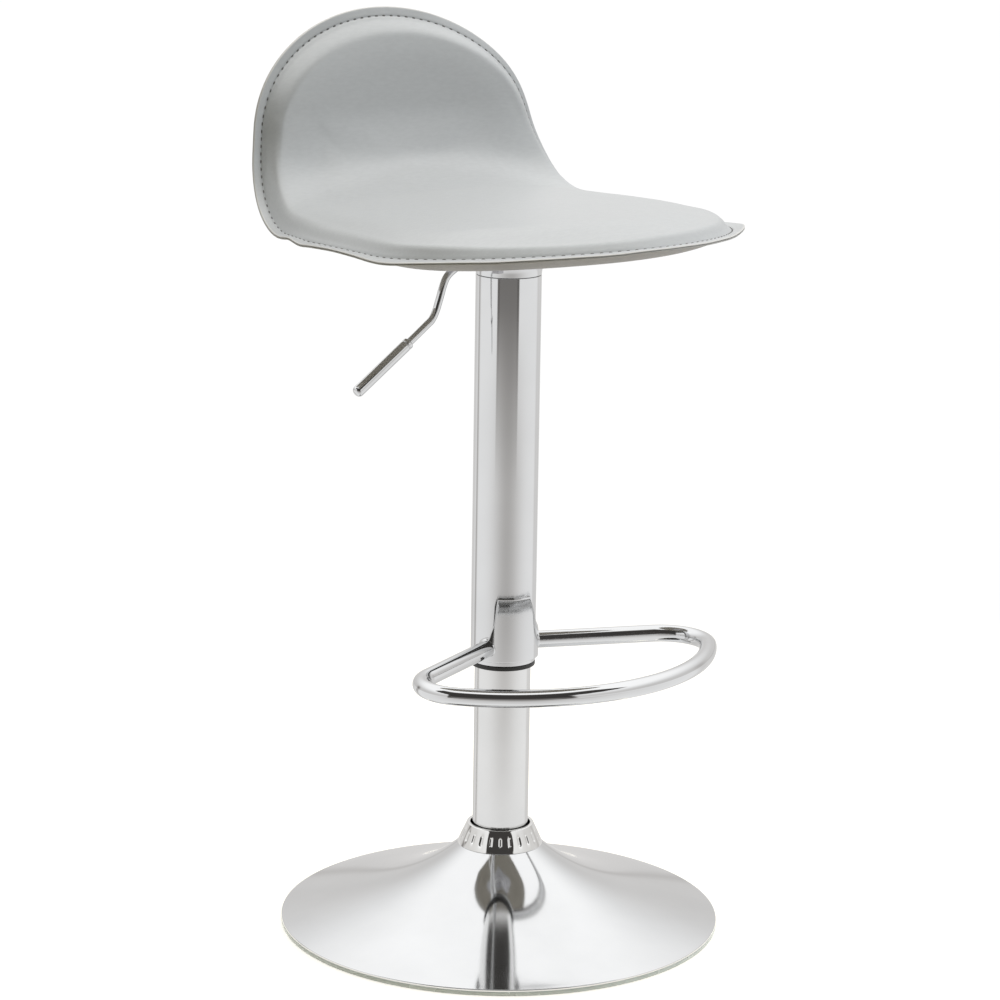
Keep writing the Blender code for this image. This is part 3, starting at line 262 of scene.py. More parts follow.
class Recipe(Nodes):
    """Node tree of one material, built around its Principled shader."""

    def __init__(self, name: str) -> None:
        """Start a material with a Principled shader and Object coordinates.

        Args:
            name: Name of the material.
        """
        self.material = bpy.data.materials.new(name)
        self.material.use_nodes = True
        super().__init__(self.material.node_tree)
        self.shader = self.tree.nodes["Principled BSDF"]
        self.coordinates = self.node("TexCoord").outputs["Object"]

    def set(self, **sockets: object) -> None:
        """Set or link the shader's own sockets, with _ for a space in their names."""
        for name, value in sockets.items():
            self.put(self.shader.inputs[name.replace("_", " ")], value)

    def noise(self, scale: float, detail: float, stretch: Triple) -> Socket:
        """Soft noise over the piece.

        Args:
            scale: Cells per metre.
            detail: Octaves of finer noise.
            stretch: Scale along each axis, for grain that runs one way.

        Returns:
            The noise's factor, about 0.5 on average.
        """
        mapped = self.node("Mapping", Vector=self.coordinates, Scale=stretch).outputs["Vector"]
        return self.node("TexNoise", Vector=mapped, Scale=scale, Detail=detail).outputs["Fac"]

    def emboss(self, height: Socket, strength: float, depth: float) -> None:
        """Feed a bump of a depth in metres to the shader."""
        self.set(Normal=self.node("Bump", Height=height, Strength=strength, Distance=depth).outputs["Normal"])


@dataclass(frozen=True)
class Relief:
    """Fine marks that a finish is embossed with."""

    scale: float                    # marks per metre
    depth: float
    strength: float = 0.5
    detail: float = 2.0
    stretch: Triple = EVEN


@dataclass(frozen=True)
class Finish:
    """Metal, plastic, wood or thread with a cloudy colour and gloss, and often a fine relief."""

    name: str
    light: Colour
    dark: Colour
    roughness: Pair                 # where it is dark, and where it is light
    scale: float = 14.0             # clouds per metre
    detail: float = 4.0
    stretch: Triple = EVEN
    metallic: float = 1.0
    relief: Relief | None = None
    clearness: float = 0.0
    refraction: float = 1.48        # of clear plastic

    def material(self) -> bpy.types.Material:
        """Build the finish.

        Returns:
            Its material.
        """
        recipe = Recipe(self.name)
        clouds = recipe.noise(self.scale, self.detail, self.stretch)
        recipe.set(Base_Color=recipe.blend(clouds, self.dark, self.light),
                   Roughness=recipe.spread(clouds, *self.roughness), Metallic=self.metallic)
        if self.clearness:
            recipe.set(Transmission_Weight=self.clearness, IOR=self.refraction)
        if self.relief:
            marks = recipe.noise(self.relief.scale, self.relief.detail, self.relief.stretch)
            recipe.emboss(marks, self.relief.strength, self.relief.depth)
        return recipe.material


@dataclass(frozen=True)
class Leatherette:
    """Satin coated fabric with a fine pebble grain and a paler cut edge, whose paleness is partly painted
    highlight on the shaded rim.
    """

    name: str
    light: Colour
    dark: Colour
    metallic: float = 0.0
    # colour of the cut edge: partly its own paler tone, partly painted highlight on the shaded rim
    cut_edge_and_highlight: Colour = (0.74, 0.735, 0.72)
    roughness: Pair = (0.46, 0.36)  # between the pebbles, and on them
    sheen: float = 0.08
    sheen_roughness: float = 0.4
    pebble_scale: float = 950.0     # pebbles per metre
    pebble_span: Pair = (0.2, 0.6)
    pebble_depth: float = 0.00006
    pebble_strength: float = 0.35
    weave_scale: float = 420.0      # streaks per metre, longer along X
    weave_detail: float = 3.0
    weave_stretch: Triple = (0.3, 1.0, 1.0)

    def material(self) -> bpy.types.Material:
        """Build the cover. A piece's "cut" attribute marks its cut edge, which gets a paler colour: partly
        the edge's own tone, partly painted highlight.

        Returns:
            Its material.
        """
        recipe = Recipe(self.name)
        weave = recipe.noise(self.weave_scale, self.weave_detail, self.weave_stretch)
        cells = recipe.node("TexVoronoi", Vector=recipe.coordinates, Scale=self.pebble_scale)
        pebbles = cells.outputs["Distance"]
        # the paler colour mixed in at the cut edge is partly painted highlight
        cut = recipe.node("Attribute", attribute_name="cut").outputs["Fac"]
        skin = recipe.blend(weave, self.dark, self.light)
        recipe.set(Base_Color=recipe.mix(cut, skin, (*self.cut_edge_and_highlight, 1.0)),
                   Roughness=recipe.spread(pebbles, *self.roughness, self.pebble_span),
                   Metallic=self.metallic, Sheen_Weight=self.sheen, Sheen_Roughness=self.sheen_roughness)
        recipe.emboss(pebbles, self.pebble_strength, self.pebble_depth)
        return recipe.material


class Finishes:
    """One material for each slot of the record, and the few that new pieces add."""

    def __init__(self) -> None:
        """Build every material once."""
        moulded = Relief(2500.0, 0.00004, 0.4)
        along_seat = (8.0, 0.6, 0.6)
        recipes = {
            Slot.CHROME: Finish("chrome_plate", (0.715, 0.72, 0.725), (0.675, 0.68, 0.685), (0.09, 0.05)),
            Slot.CHROME_PLASTIC: Finish(
                "chrome_on_plastic", (0.87, 0.87, 0.86), (0.82, 0.82, 0.81), (0.07, 0.04)),
            Slot.SATIN_STEEL: Finish("satin_tube", (0.76, 0.76, 0.755), (0.71, 0.71, 0.705), (0.18, 0.13)),
            Slot.STEEL: Finish("zinc_steel", (0.56, 0.56, 0.57), (0.42, 0.42, 0.44), (0.45, 0.30),
                               scale=60.0, relief=Relief(900.0, 0.00003)),
            Slot.BLACK_STEEL: Finish("black_enamel", (0.035, 0.035, 0.035), (0.02, 0.02, 0.02), (0.42, 0.30),
                                     metallic=0.2, relief=Relief(900.0, 0.00002)),
            Slot.BRASS: Finish("turned_brass", (0.72, 0.56, 0.26), (0.55, 0.41, 0.17), (0.38, 0.25),
                               scale=50.0, relief=Relief(900.0, 0.00003, stretch=(0.2, 0.2, 3.0))),
            Slot.BLACK_PLASTIC: Finish("black_plastic_bush", (0.03, 0.03, 0.03), (0.015, 0.015, 0.015),
                                       (0.38, 0.5), scale=40.0, metallic=0.0, relief=moulded),
            Slot.CLEAR_PLASTIC: Finish("clear_plastic_ring", (0.93, 0.99, 0.96), (0.85, 0.92, 0.89),
                                       (0.18, 0.32), scale=30.0, metallic=0.0, clearness=0.25),
            Slot.RUBBER: Finish("black_rubber", (0.035, 0.035, 0.034), (0.02, 0.02, 0.02), (0.75, 0.9),
                                scale=40.0, metallic=0.0, relief=moulded),
            Slot.CORE: Finish("plywood_core", (0.56, 0.42, 0.26), (0.34, 0.23, 0.13), (0.75, 0.60),
                              scale=30.0, detail=6.0, stretch=along_seat, metallic=0.0,
                              relief=Relief(30.0, 0.0002, 0.3, 6.0, along_seat)),
            Slot.LEATHERETTE: Leatherette(
                "silver_leatherette", (0.579, 0.600, 0.618), (0.546, 0.567, 0.585), metallic=0.15),
        }
        self.by_slot = {slot: recipe.material() for slot, recipe in recipes.items()}
        # darker, warmer copy of the seat's leatherette: painted shade for the cover below and behind
        self.shaded_underside = Leatherette(
            "shaded_underside_leatherette", (0.46, 0.447, 0.43), (0.43, 0.417, 0.40)).material()
        self.thread = Finish("sewing_thread", (0.26, 0.26, 0.255), (0.10, 0.10, 0.098), (0.40, 0.28),
                             scale=3200.0, detail=2.0, metallic=0.85,
                             relief=Relief(3200.0, 0.0001)).material()

    def carry_over(self, frame: dict) -> int:
        """Dress every CAD node by its slot in the record.


        Returns:
            How many nodes were dressed.
        """
        for subpart in frame["record"]["subparts"]:
            node = frame["nodes"][subpart["node"]]
            node.data.materials.clear()
            node.data.materials.append(self.by_slot[Slot(subpart["material_slot"])])
        return len(frame["record"]["subparts"])


class Workpiece:
    """A piece on the bench: a primitive that is shaped with Blender's own tools."""

    def __init__(self, name: str) -> None:
        """Take the primitive that was just added, with its place put into its mesh.

        Args:
            name: Name of the piece.
        """
        self.item = bpy.context.object
        self.item.name = self.item.data.name = name
        bpy.ops.object.transform_apply(location=True, rotation=True, scale=True)
        bpy.ops.object.mode_set(mode="EDIT")
        bpy.ops.mesh.select_mode(type="VERT")
        bpy.ops.mesh.select_all(action="SELECT")

    @staticmethod
    def clear() -> None:
        """Leave nothing selected, so that an operator acts on the new piece alone."""
        if bpy.context.object and bpy.context.object.mode != "OBJECT":
            bpy.ops.object.mode_set(mode="OBJECT")
        bpy.ops.object.select_all(action="DESELECT")

    @classmethod
    def turned(cls, name: str, section: Sequence[Pair], edge: float, steps: int = TURN_STEPS) -> "Workpiece":
        """Turn a closed section about the column's axis, as on a lathe.

        Args:
            name: Name of the piece.
            section: Corners as (radius, height), in order round the section.
            edge: Width of the rounding on its sharp edges.
            steps: Facets round the axis.

        Returns:
            The piece, in edit mode.
        """
        cls.clear()
        radius, height = section[0]
        bpy.ops.mesh.primitive_plane_add(size=edge, location=(radius, 0.0, height))
        piece = cls(name)
        bpy.ops.mesh.merge(type="CENTER")
        closed = [*section, section[0]]
        for (r0, z0), (r1, z1) in zip(closed, closed[1:]):
            piece.extrude((r1 - r0, 0.0, z1 - z0))
        bpy.ops.mesh.select_all(action="SELECT")
        bpy.ops.mesh.spin(steps=steps, angle=2 * math.pi, center=(0, 0, 0), axis=UP)
        piece.clean()
        piece.round_edges(edge)
        return piece

    @classmethod
    def bar(cls, name: str, radius: float, start: Vector, heading: Vector, sides: int) -> "Workpiece":
        """Start a round bar from a circle across its heading.

        Args:
            name: Name of the piece.
            radius: Radius of the bar.
            start: Centre of its first end.
            heading: Direction in which it sets out.
            sides: Facets round the bar.

        Returns:
            The piece in edit mode, with the circle selected.
        """
        cls.clear()
        turn = UP.rotation_difference(heading).to_euler()
        bpy.ops.mesh.primitive_circle_add(vertices=sides, radius=radius, location=start, rotation=turn)
        return cls(name)

    def extrude(self, offset: Sequence[float]) -> None:
        """Extrude what is selected and move it."""
        bpy.ops.mesh.extrude_region_move(TRANSFORM_OT_translate={"value": tuple(offset)})

    def swing(self, centre: Sequence[float], angle: float, steps: int) -> None:
        """Sweep the selected loop round an upright axis, clockwise from above."""
        bpy.ops.mesh.spin(steps=steps, angle=angle, center=tuple(centre), axis=UP)

    def scale(self, factor: float, centre: Sequence[float]) -> None:
        """Scale the selected loop about a point."""
        bpy.ops.transform.resize(value=(factor,) * 3, center_override=tuple(centre))

    def close_end(self) -> None:
        """Fill the selected loop."""
        bpy.ops.mesh.edge_face_add()

    def clean(self) -> None:
        """Merge doubles and turn all faces outwards."""
        bpy.ops.mesh.select_all(action="SELECT")
        bpy.ops.mesh.remove_doubles(threshold=MERGE)
        bpy.ops.mesh.normals_make_consistent(inside=False)

    def round_edges(self, width: float, sharpness: float = math.radians(25)) -> None:
        """Bevel the sharp edges.

        Args:
            width: Width of the bevel.
            sharpness: Edges whose faces meet at more than this angle are sharp.
        """
        bpy.ops.mesh.select_all(action="DESELECT")
        bpy.ops.mesh.select_mode(type="EDGE")
        bpy.ops.mesh.edges_select_sharp(sharpness=sharpness)
        bpy.ops.mesh.bevel(offset=width, segments=3, profile=0.5, clamp_overlap=True)

    def select_faces(self, wanted: Callable[[Vector, Vector], bool]) -> None:
        """Select the faces that are wanted.

        Args:
            wanted: Test of a face's centre and normal.
        """
        bpy.ops.mesh.select_mode(type="FACE")
        bpy.ops.mesh.select_all(action="DESELECT")
        for face in bmesh.from_edit_mesh(self.item.data).faces:
            if wanted(face.calc_center_median(), face.normal):
                face.select_set(True)
        bmesh.update_edit_mesh(self.item.data)

    def apply(self, kind: str, **settings: object) -> None:
        """Add a modifier and apply it.

        Args:
            kind: Type of the modifier.
            settings: Its settings by name.
        """
        bpy.ops.object.mode_set(mode="OBJECT")
        modifier = self.item.modifiers.new(kind.lower(), kind)
        for name, value in settings.items():
            setattr(modifier, name, value)
        bpy.ops.object.modifier_apply(modifier=modifier.name)

    def done(self, finishes: Finishes, slot: Slot, body: Body, *nodes: str,
             finish: bpy.types.Material | None = None) -> bpy.types.Object:
        """Shade and dress the piece, and give it to the frame.

        Args:
            finishes: The finishes of the slots.
            slot: The record's slot that the piece belongs to.
            body: CAD body that the piece rides on.
            nodes: CAD nodes that it stands for.
            finish: Material of the piece, where it isn't the slot's own.

        Returns:
            The finished object.
        """
        bpy.ops.object.mode_set(mode="OBJECT")
        bpy.ops.object.shade_smooth_by_angle(angle=CREASE)
        self.apply("WEIGHTED_NORMAL", keep_sharp=True)
        self.item.data.materials.clear()
        self.item.data.materials.append(finish or finishes.by_slot[slot])
        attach(self.item, body.value)
        if nodes:
            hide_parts(*nodes)
        LOG.info("%s: %d faces on %s", self.item.name, len(self.item.data.polygons), body.value)
        return self.item


@dataclass
class TrumpetBase:
    """Floor ring, spun shell and ribbed trim collar."""

    finishes: Finishes
    wall: float = 0.002
    neck_radius: float = 0.0326
    flare_straight: float = 0.60    # share of the flare that is a plain cone
    flare_power: float = 4.0
    shell_steps: int = 160
    shell_edge: float = 0.0003
    outer_rows: int = 56
    outer_crowding: float = 1.4     # the rows crowd at the neck
    inner_rows: int = 24
    inner_crowding: float = 0.8
    rim_roll: float = 0.0009        # rounding of the shell's rim
    rim_steps: int = 6
    ring_width: float = 0.009
    ring_edge: float = 0.0006
    lip_width: float = 0.0025
    collar_bore: float = 0.028
    collar_top: float = 0.031
    collar_wall: float = 0.002
    collar_edge: float = 0.0005
    collar_ribs: int = 24
    collar_rim: float = 0.0062      # plain band above and below the ribs
    collar_rows: int = 6            # of the ribbed band
    collar_facets: int = 6          # per rib
    rib_depth: float = 0.0009
    rib_slope: float = 0.8          # width of a rib's flank, by its depth
    gap_span: Pair = (0.3, 0.7)     # part of the pitch that is sunk between two ribs

    def __post_init__(self) -> None:
        """Take the outer sizes from the frame."""
        self.radius, self.rim_z, self.top_z = node_ring("base_shell")
        self.collar_foot, self.collar_low, self.collar_high = node_ring("trim_collar")

    def height(self, radius: float) -> float:
        """Height of the shell's outer face.

        Args:
            radius: Distance from the axis.

        Returns:
            Height above the floor.
        """
        along = (self.radius - radius) / (self.radius - self.neck_radius)
        rise = self.flare_straight * along + (1 - self.flare_straight) * along ** self.flare_power
        foot = self.rim_z + self.wall
        return foot + (self.top_z - foot) * rise

    def inside(self, radius: float) -> float:
        """Height of the shell's inner face, one wall inside the outer one.

        Args:
            radius: Distance from the axis.

        Returns:
            Height above the floor.
        """
        step = self.wall / 10
        slope = (self.height(radius - step) - self.height(radius + step)) / (2 * step)
        return self.height(radius) - self.wall * math.hypot(1.0, slope)

    def build_floor_ring(self) -> None:
        """Translucent ring under the rim, with a lip inside the shell."""
        radius, low, high = node_ring("floor_ring")
        inner = radius - self.ring_width
        lip = inner + self.lip_width
        seat = self.rim_z - FIT
        section = [(radius, seat), (radius, low), (inner, low), (inner, high), (lip, high), (lip, seat)]
        ring = Workpiece.turned("floor_ring_clear", section, self.ring_edge, self.shell_steps)
        ring.done(self.finishes, Slot.CLEAR_PLASTIC, Body.BASE, "floor_ring")

    def build_shell(self) -> None:
        """Spun shell with a rolled rim."""
        reach = self.radius - self.rim_roll
        foot = self.radius - self.ring_width + self.lip_width + FIT
        neck = self.neck_radius - self.wall
        outer_radii = spaced(self.neck_radius, reach, self.outer_rows, self.outer_crowding)
        inner_radii = spaced(foot, neck, self.inner_rows, self.inner_crowding)
        outside = [(radius, self.height(radius)) for radius in outer_radii]
        roll_z = outside[-1][1] - self.rim_roll
        rim = arc((reach, roll_z), (self.rim_roll, self.rim_roll), 90, 0, self.rim_steps)[1:]
        inside = [(radius, self.inside(radius)) for radius in inner_radii]
        section = [*outside, *rim, (self.radius, self.rim_z), (foot, self.rim_z), *inside, (neck, self.top_z)]
        shell = Workpiece.turned("base_shell_chrome", section, self.shell_edge, self.shell_steps)
        shell.done(self.finishes, Slot.CHROME, Body.BASE, "base_shell")

    def build_collar(self) -> None:
        """Conical collar whose band is sunk between its ribs."""
        foot, low, high = self.collar_foot, self.collar_low, self.collar_high
        slope = (foot - self.collar_top) / (high - low)
        band_low, band_high = low + self.collar_rim, high - self.collar_rim
        pitch = 2 * math.pi / self.collar_ribs

        def cone(height: float) -> float:
            """Radius of the outer cone at a height."""
            return foot - slope * (height - low)

        def between_ribs(centre: Vector, normal: Vector) -> bool:
            """Whether a face of the outer band, by its centre and normal, lies between two ribs."""
            inside = self.gap_span[0] < math.atan2(centre.y, centre.x) % pitch / pitch < self.gap_span[1]
            return inside and band_low < centre.z < band_high and normal.xy.dot(centre.xy) > 0

        band = spaced(band_high, band_low, self.collar_rows)
        inner_top = high - self.collar_wall
        section = [(self.collar_bore, high), (self.collar_top, high), *((cone(z), z) for z in band),
                   (foot, low), (foot - self.collar_wall, low + slope * self.collar_wall),
                   (cone(inner_top) - self.collar_wall, inner_top), (self.collar_bore, inner_top)]
        collar = Workpiece.turned("trim_collar_ribbed", section, self.collar_edge,
                                  self.collar_ribs * self.collar_facets)
        collar.select_faces(between_ribs)
        bpy.ops.mesh.inset(thickness=self.rib_depth * self.rib_slope, use_boundary=True)
        bpy.ops.transform.shrink_fatten(value=-self.rib_depth)
        collar.apply("SUBSURF", levels=1, render_levels=1)
        collar.done(self.finishes, Slot.CHROME_PLASTIC, Body.BASE, "trim_collar")

    def build(self) -> None:
        """Build the base's pieces."""
        self.build_floor_ring()
        self.build_shell()
        self.build_collar()


@dataclass
class Column:
    """Satin lower tube, and the chromed sleeve with its bush and cap that slides over it."""

    finishes: Finishes
    tube_wall: float = 0.002
    sleeve_wall: float = 0.0015
    edge: float = 0.0005
    bush_edge: float = 0.0006
    bush_lip: float = 0.004
    slide_gap: float = 0.00035
    spigot_wall: float = 0.0027
    cap_floor: float = 0.006
    hub_clearance: float = 0.0183
    cap_steps: int = 14

    def __post_init__(self) -> None:
        """Take the sleeve's sizes from the frame."""
        self.sleeve_radius, _, self.sleeve_top = node_ring("sleeve")
        self.sleeve_inside = self.sleeve_radius - self.sleeve_wall - FIT

    def build_tube(self, name: str, node: str, wall: float, slot: Slot, body: Body) -> None:
        """Plain tube in place of a CAD tube.

        Args:
            name: Name of the piece.
            node: The CAD tube.
            wall: Thickness of its wall.
            slot: The record's slot.
            body: CAD body that it rides on.
        """
        radius, low, high = node_ring(node)
        section = [(radius, high), (radius, low), (radius - wall, low), (radius - wall, high)]
        Workpiece.turned(name, section, self.edge).done(self.finishes, slot, body, node)

    def build_bush(self) -> None:
        """Black slide bush with a lip below the sleeve's end."""
        _, low, high = node_ring("sleeve_bush")
        slide = node_ring("outer_tube")[0] + self.slide_gap
        lip = low + self.bush_lip
        section = [(self.sleeve_inside, high), (self.sleeve_inside, lip), (self.sleeve_radius, lip),
                   (self.sleeve_radius, low), (slide, low), (slide, high)]
        bush = Workpiece.turned("sleeve_bush_lip", section, self.bush_edge)
        bush.done(self.finishes, Slot.BLACK_PLASTIC, Body.CARRIAGE, "sleeve_bush")

    def build_cap(self) -> None:
        """Flared cap between the sleeve and the seat plate."""
        radius, low, high = node_ring("sleeve_cap")
        foot = self.sleeve_top + FIT
        spigot = self.sleeve_inside
        bore = spigot - self.spigot_wall
        floor = high - self.cap_floor
        flare = arc((radius, foot), (self.sleeve_radius - radius, high - foot), 90, 0, self.cap_steps)
        section = [*flare, (spigot, foot), (spigot, low), (bore, low), (bore, floor),
                   (self.hub_clearance, floor), (self.hub_clearance, high)]
        cap = Workpiece.turned("sleeve_cap_flared", section, self.edge)
        cap.done(self.finishes, Slot.CHROME, Body.CARRIAGE, "sleeve_cap")

    def build(self) -> None:
        """Build the column's pieces."""
        self.build_tube("outer_tube_satin", "outer_tube", self.tube_wall, Slot.SATIN_STEEL, Body.BASE)
        self.build_tube("sleeve_chrome", "sleeve", self.sleeve_wall, Slot.CHROME, Body.CARRIAGE)
        self.build_bush()
        self.build_cap()


@dataclass
class FootRest:
    """Saddle plate round the sleeve and the bent tube that is welded to it."""

    finishes: Finishes
    bow_radius: float = 0.190
    bow_steps: int = 72
    tube_radius: float = 0.008
    tube_sides: int = 32
    corner_radius: float = 0.040
    corner_steps: int = 20
    leg_angle: float = math.radians(66)
    saddle_thickness: float = 0.0025
    saddle_grid: tuple[int, int] = (48, 44)
    saddle_edge: float = 0.0006
    edge_sharpness: float = math.radians(50)
    band_top: float = 0.0255        # above the saddle's lower edge
    band_angle: float = math.radians(74)
    waist: Pair = (math.radians(-56), math.radians(38))
    crest: Pair = (math.radians(-48), math.radians(10))
    fillet: float = 0.010           # height over which the band runs into the tongue
    weld: float = 0.0022            # fillet of the weld at each leg
    weld_steps: int = 5

    def __post_init__(self) -> None:
        """Take the places from the frame."""
        low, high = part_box("footrest_ring")
        self.height = (low.z + high.z) / 2
        saddle_low, saddle_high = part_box("footrest_saddle")
        self.low, self.high = saddle_low.z, saddle_high.z
        self.inner = node_ring("sleeve")[0] + FIT
        self.outer = self.inner + self.saddle_thickness

    @staticmethod
    def around(angle: float, radius: float, height: float) -> Vector:
        """Point round the column, with angle 0 ahead of it and positive angles towards +X."""
        return Vector((radius * math.sin(angle), -radius * math.cos(angle), height))

    def limits(self, height: float) -> Pair:
        """Where the saddle's plate ends.

        Args:
            height: Height above the floor.

        Returns:
            Angles of its left and right edge.
        """
        above = height - self.low - self.band_top
        lean = unit(above / (self.high - self.low - self.band_top))
        tongue = unit((above + self.fillet) / (2 * self.fillet)) ** 0.5
        left, right = (side * self.band_angle * (1 - tongue) + (waist + (crest - waist) * lean) * tongue
                       for side, waist, crest in zip((-1, 1), self.waist, self.crest))
        return left, right

    def build_saddle(self) -> None:
        """Plate wrapped round the sleeve: a band, with a leaning tongue above it."""
        Workpiece.clear()
        columns, rows = self.saddle_grid
        bpy.ops.mesh.primitive_grid_add(x_subdivisions=columns, y_subdivisions=rows, size=1.0)
        plate = Workpiece("footrest_saddle_plate")
        mesh = bmesh.from_edit_mesh(plate.item.data)
        for vertex in mesh.verts:
            share_x, share_z = vertex.co.x + 0.5, vertex.co.y + 0.5
            height = self.low + (self.high - self.low) * share_z
            left, right = self.limits(height)
            vertex.co = self.around(left + (right - left) * share_x, self.inner, height)
        bmesh.update_edit_mesh(plate.item.data)
        bpy.ops.mesh.normals_make_consistent(inside=False)
        plate.select_faces(lambda centre, normal: normal.xy.dot(centre.xy) < 0)
        bpy.ops.mesh.flip_normals()
        plate.apply("SOLIDIFY", thickness=self.saddle_thickness, offset=1.0)
        bpy.ops.object.mode_set(mode="EDIT")
        plate.round_edges(self.saddle_edge, self.edge_sharpness)
        plate.done(self.finishes, Slot.CHROME, Body.CARRIAGE, "footrest_saddle")

    def fillet_stations(self) -> list[Pair]:
        """Rings of the weld fillet at a leg.

        Returns:
            Distance from the axis and radius of each ring, from inside the saddle outwards.
        """
        wide = self.tube_radius + self.weld
        root = math.sqrt(self.outer ** 2 - wide ** 2)
        fillet = arc((root + self.weld, wide), (-self.weld, -self.weld), 0, 90, self.weld_steps)
        return [(root - self.saddle_thickness, wide), *fillet]

    def build_ring(self) -> None:
        """Tube from the saddle, round the corner, along the bow and back."""
        corner = self.bow_radius - self.corner_radius
        swing = math.asin(self.corner_radius / corner)
        bow = self.leg_angle - swing
        leg_end = corner * math.cos(swing)
        stations = self.fillet_stations()
        weld_end = stations[-1][0]
        right, left = (self.around(side * self.leg_angle, 1.0, 0.0) for side in (1, -1))
        level = UP * self.height
        start, radius = stations[0]
        tube = Workpiece.bar("footrest_tube", radius, right * start + level, right, self.tube_sides)
        tube.close_end()
        for (before, wide), (after, narrow) in zip(stations, stations[1:]):
            tube.extrude(right * (after - before))
            tube.scale(narrow / wide, right * after + level)
        tube.extrude(right * (leg_end - weld_end))
        tube.swing(self.around(bow, corner, self.height), math.pi / 2 + swing, self.corner_steps)
        tube.swing(level, 2 * bow, self.bow_steps)
        tube.swing(self.around(-bow, corner, self.height), math.pi / 2 + swing, self.corner_steps)
        tube.extrude(left * (weld_end - leg_end))
        for (after, wide), (before, narrow) in zip(stations[-2::-1], stations[:0:-1]):
            tube.extrude(left * (after - before))
            tube.scale(wide / narrow, left * after + level)
        tube.close_end()
        tube.clean()
        tube.done(self.finishes, Slot.CHROME, Body.CARRIAGE, "footrest_ring")

    def build(self) -> None:
        """Build the foot-rest's pieces."""
        self.build_saddle()
        self.build_ring()


@dataclass
class LiftLever:
    """Bent lift lever with its turned grip, in the plane y = 0. Places are (x, z) from the pivot."""

    finishes: Finishes
    radius: float = 0.0035
    sides: int = 24
    end_round: float = 0.0006
    end_sharpness: float = math.radians(60)
    pivot: Pair = (-0.022, 0.6325)  # from the origin
    tail: Pair = (0.028, 0.0004)
    route: tuple[Pair, ...] = (
        (-0.028, -0.0035), (-0.0384, -0.0079), (-0.0495, -0.0165), (-0.0570, -0.0359), (-0.0600, -0.0440),
        (-0.0645, -0.0519), (-0.0706, -0.0567), (-0.0898, -0.0703))
    route_steps: int = 8
    least_turn: float = 1e-6
    hold: float = 0.02              # length of the rod inside the grip
    grip_end: Pair = (-0.148, -0.1105)
    grip_radius: float = 0.0053
    grip_steps: int = 48
    grip_edge: float = 0.0003
    grip_bore: float = 0.65         # bored part of its length
    nose: float = 0.004
    nose_steps: int = 8
    mouth: Pair = (0.9, 0.0008)     # share of the radius at the open end, length to the full radius
    groove_start: float = 0.0035
    groove_width: float = 0.0014
    groove_depth: float = 0.0004

    def place(self, point: Pair) -> Vector:
        """Point in space, from its place beside the pivot."""
        return Vector((self.pivot[0] + point[0], 0.0, self.pivot[1] + point[1]))

    def centreline(self) -> list[Vector]:
        """Smooth curve through the route.

        Returns:
            Points of the lever from its inner tail to the end inside the grip.
        """
        knots = [self.place(point) for point in (self.tail, (0.0, 0.0), *self.route)]
        knots.append(knots[-1] + (self.place(self.grip_end) - knots[-1]).normalized() * self.hold)
        points = [knots[0]]
        for before, start, end, after in zip(knots, knots[1:], knots[2:], knots[3:]):
            for t in spaced(0.0, 1.0, self.route_steps)[:-1]:
                points.append(0.5 * (
                    2 * start + (end - before) * t + (2 * before - 5 * start + 4 * end - after) * t ** 2
                    + (3 * start - before - 3 * end + after) * t ** 3))
        return points + knots[-2:]

    def build_rod(self) -> None:
        """Bent rod, extruded along its centreline."""
        points = self.centreline()
        headings = [(b - a).normalized() for a, b in zip(points, points[1:])]
        rod = Workpiece.bar("lever_rod_bent", self.radius, points[0], headings[0], self.sides)
        rod.close_end()
        for index, heading in enumerate(headings):
            rod.extrude(points[index + 1] - points[index])
            following = headings[min(index + 1, len(headings) - 1)]
            old = heading if index == 0 else (headings[index - 1] + heading).normalized()
            new = (heading + following).normalized()
            turn = math.atan2(new.cross(old).y, new.dot(old))
            if abs(turn) > self.least_turn:
                place = tuple(points[index + 1])
                bpy.ops.transform.rotate(value=turn, orient_axis="Y", center_override=place)
        rod.close_end()
        rod.clean()
        rod.round_edges(self.end_round, self.end_sharpness)
        rod.done(self.finishes, Slot.CHROME, Body.LEVER, "lever_rod")

    def build_grip(self) -> None:
        """Turned grip with a round nose, set on the rod's end."""
        start, end = self.place(self.route[-1]), self.place(self.grip_end)
        length = (end - start).length
        outer, bore, bottom = self.grip_radius, self.radius + FIT, length * self.grip_bore
        deep, groove_end = outer - self.groove_depth, self.groove_start + self.groove_width
        nose = arc((outer - self.nose, length - self.nose), (self.nose, self.nose), 0, 90, self.nose_steps)
        section = [(bore, bottom), (bore, 0.0), (outer * self.mouth[0], 0.0), (outer, self.mouth[1]),
                   (outer, self.groove_start), (deep, self.groove_start + self.groove_depth),
                   (deep, groove_end - self.groove_depth), (outer, groove_end),
                   *nose, (0.0, length), (0.0, bottom)]
        grip = Workpiece.turned("lever_grip_turned", section, self.grip_edge, self.grip_steps)
        bpy.ops.object.mode_set(mode="OBJECT")
        turn = UP.rotation_difference(end - start).to_matrix().to_4x4()
        grip.item.matrix_world = Matrix.Translation(start) @ turn
        bpy.ops.object.transform_apply(location=True, rotation=True, scale=True)
        grip.done(self.finishes, Slot.CHROME, Body.LEVER, "lever_grip")

    def build(self) -> None:
        """Build the lever's pieces."""
        self.build_rod()
        self.build_grip()


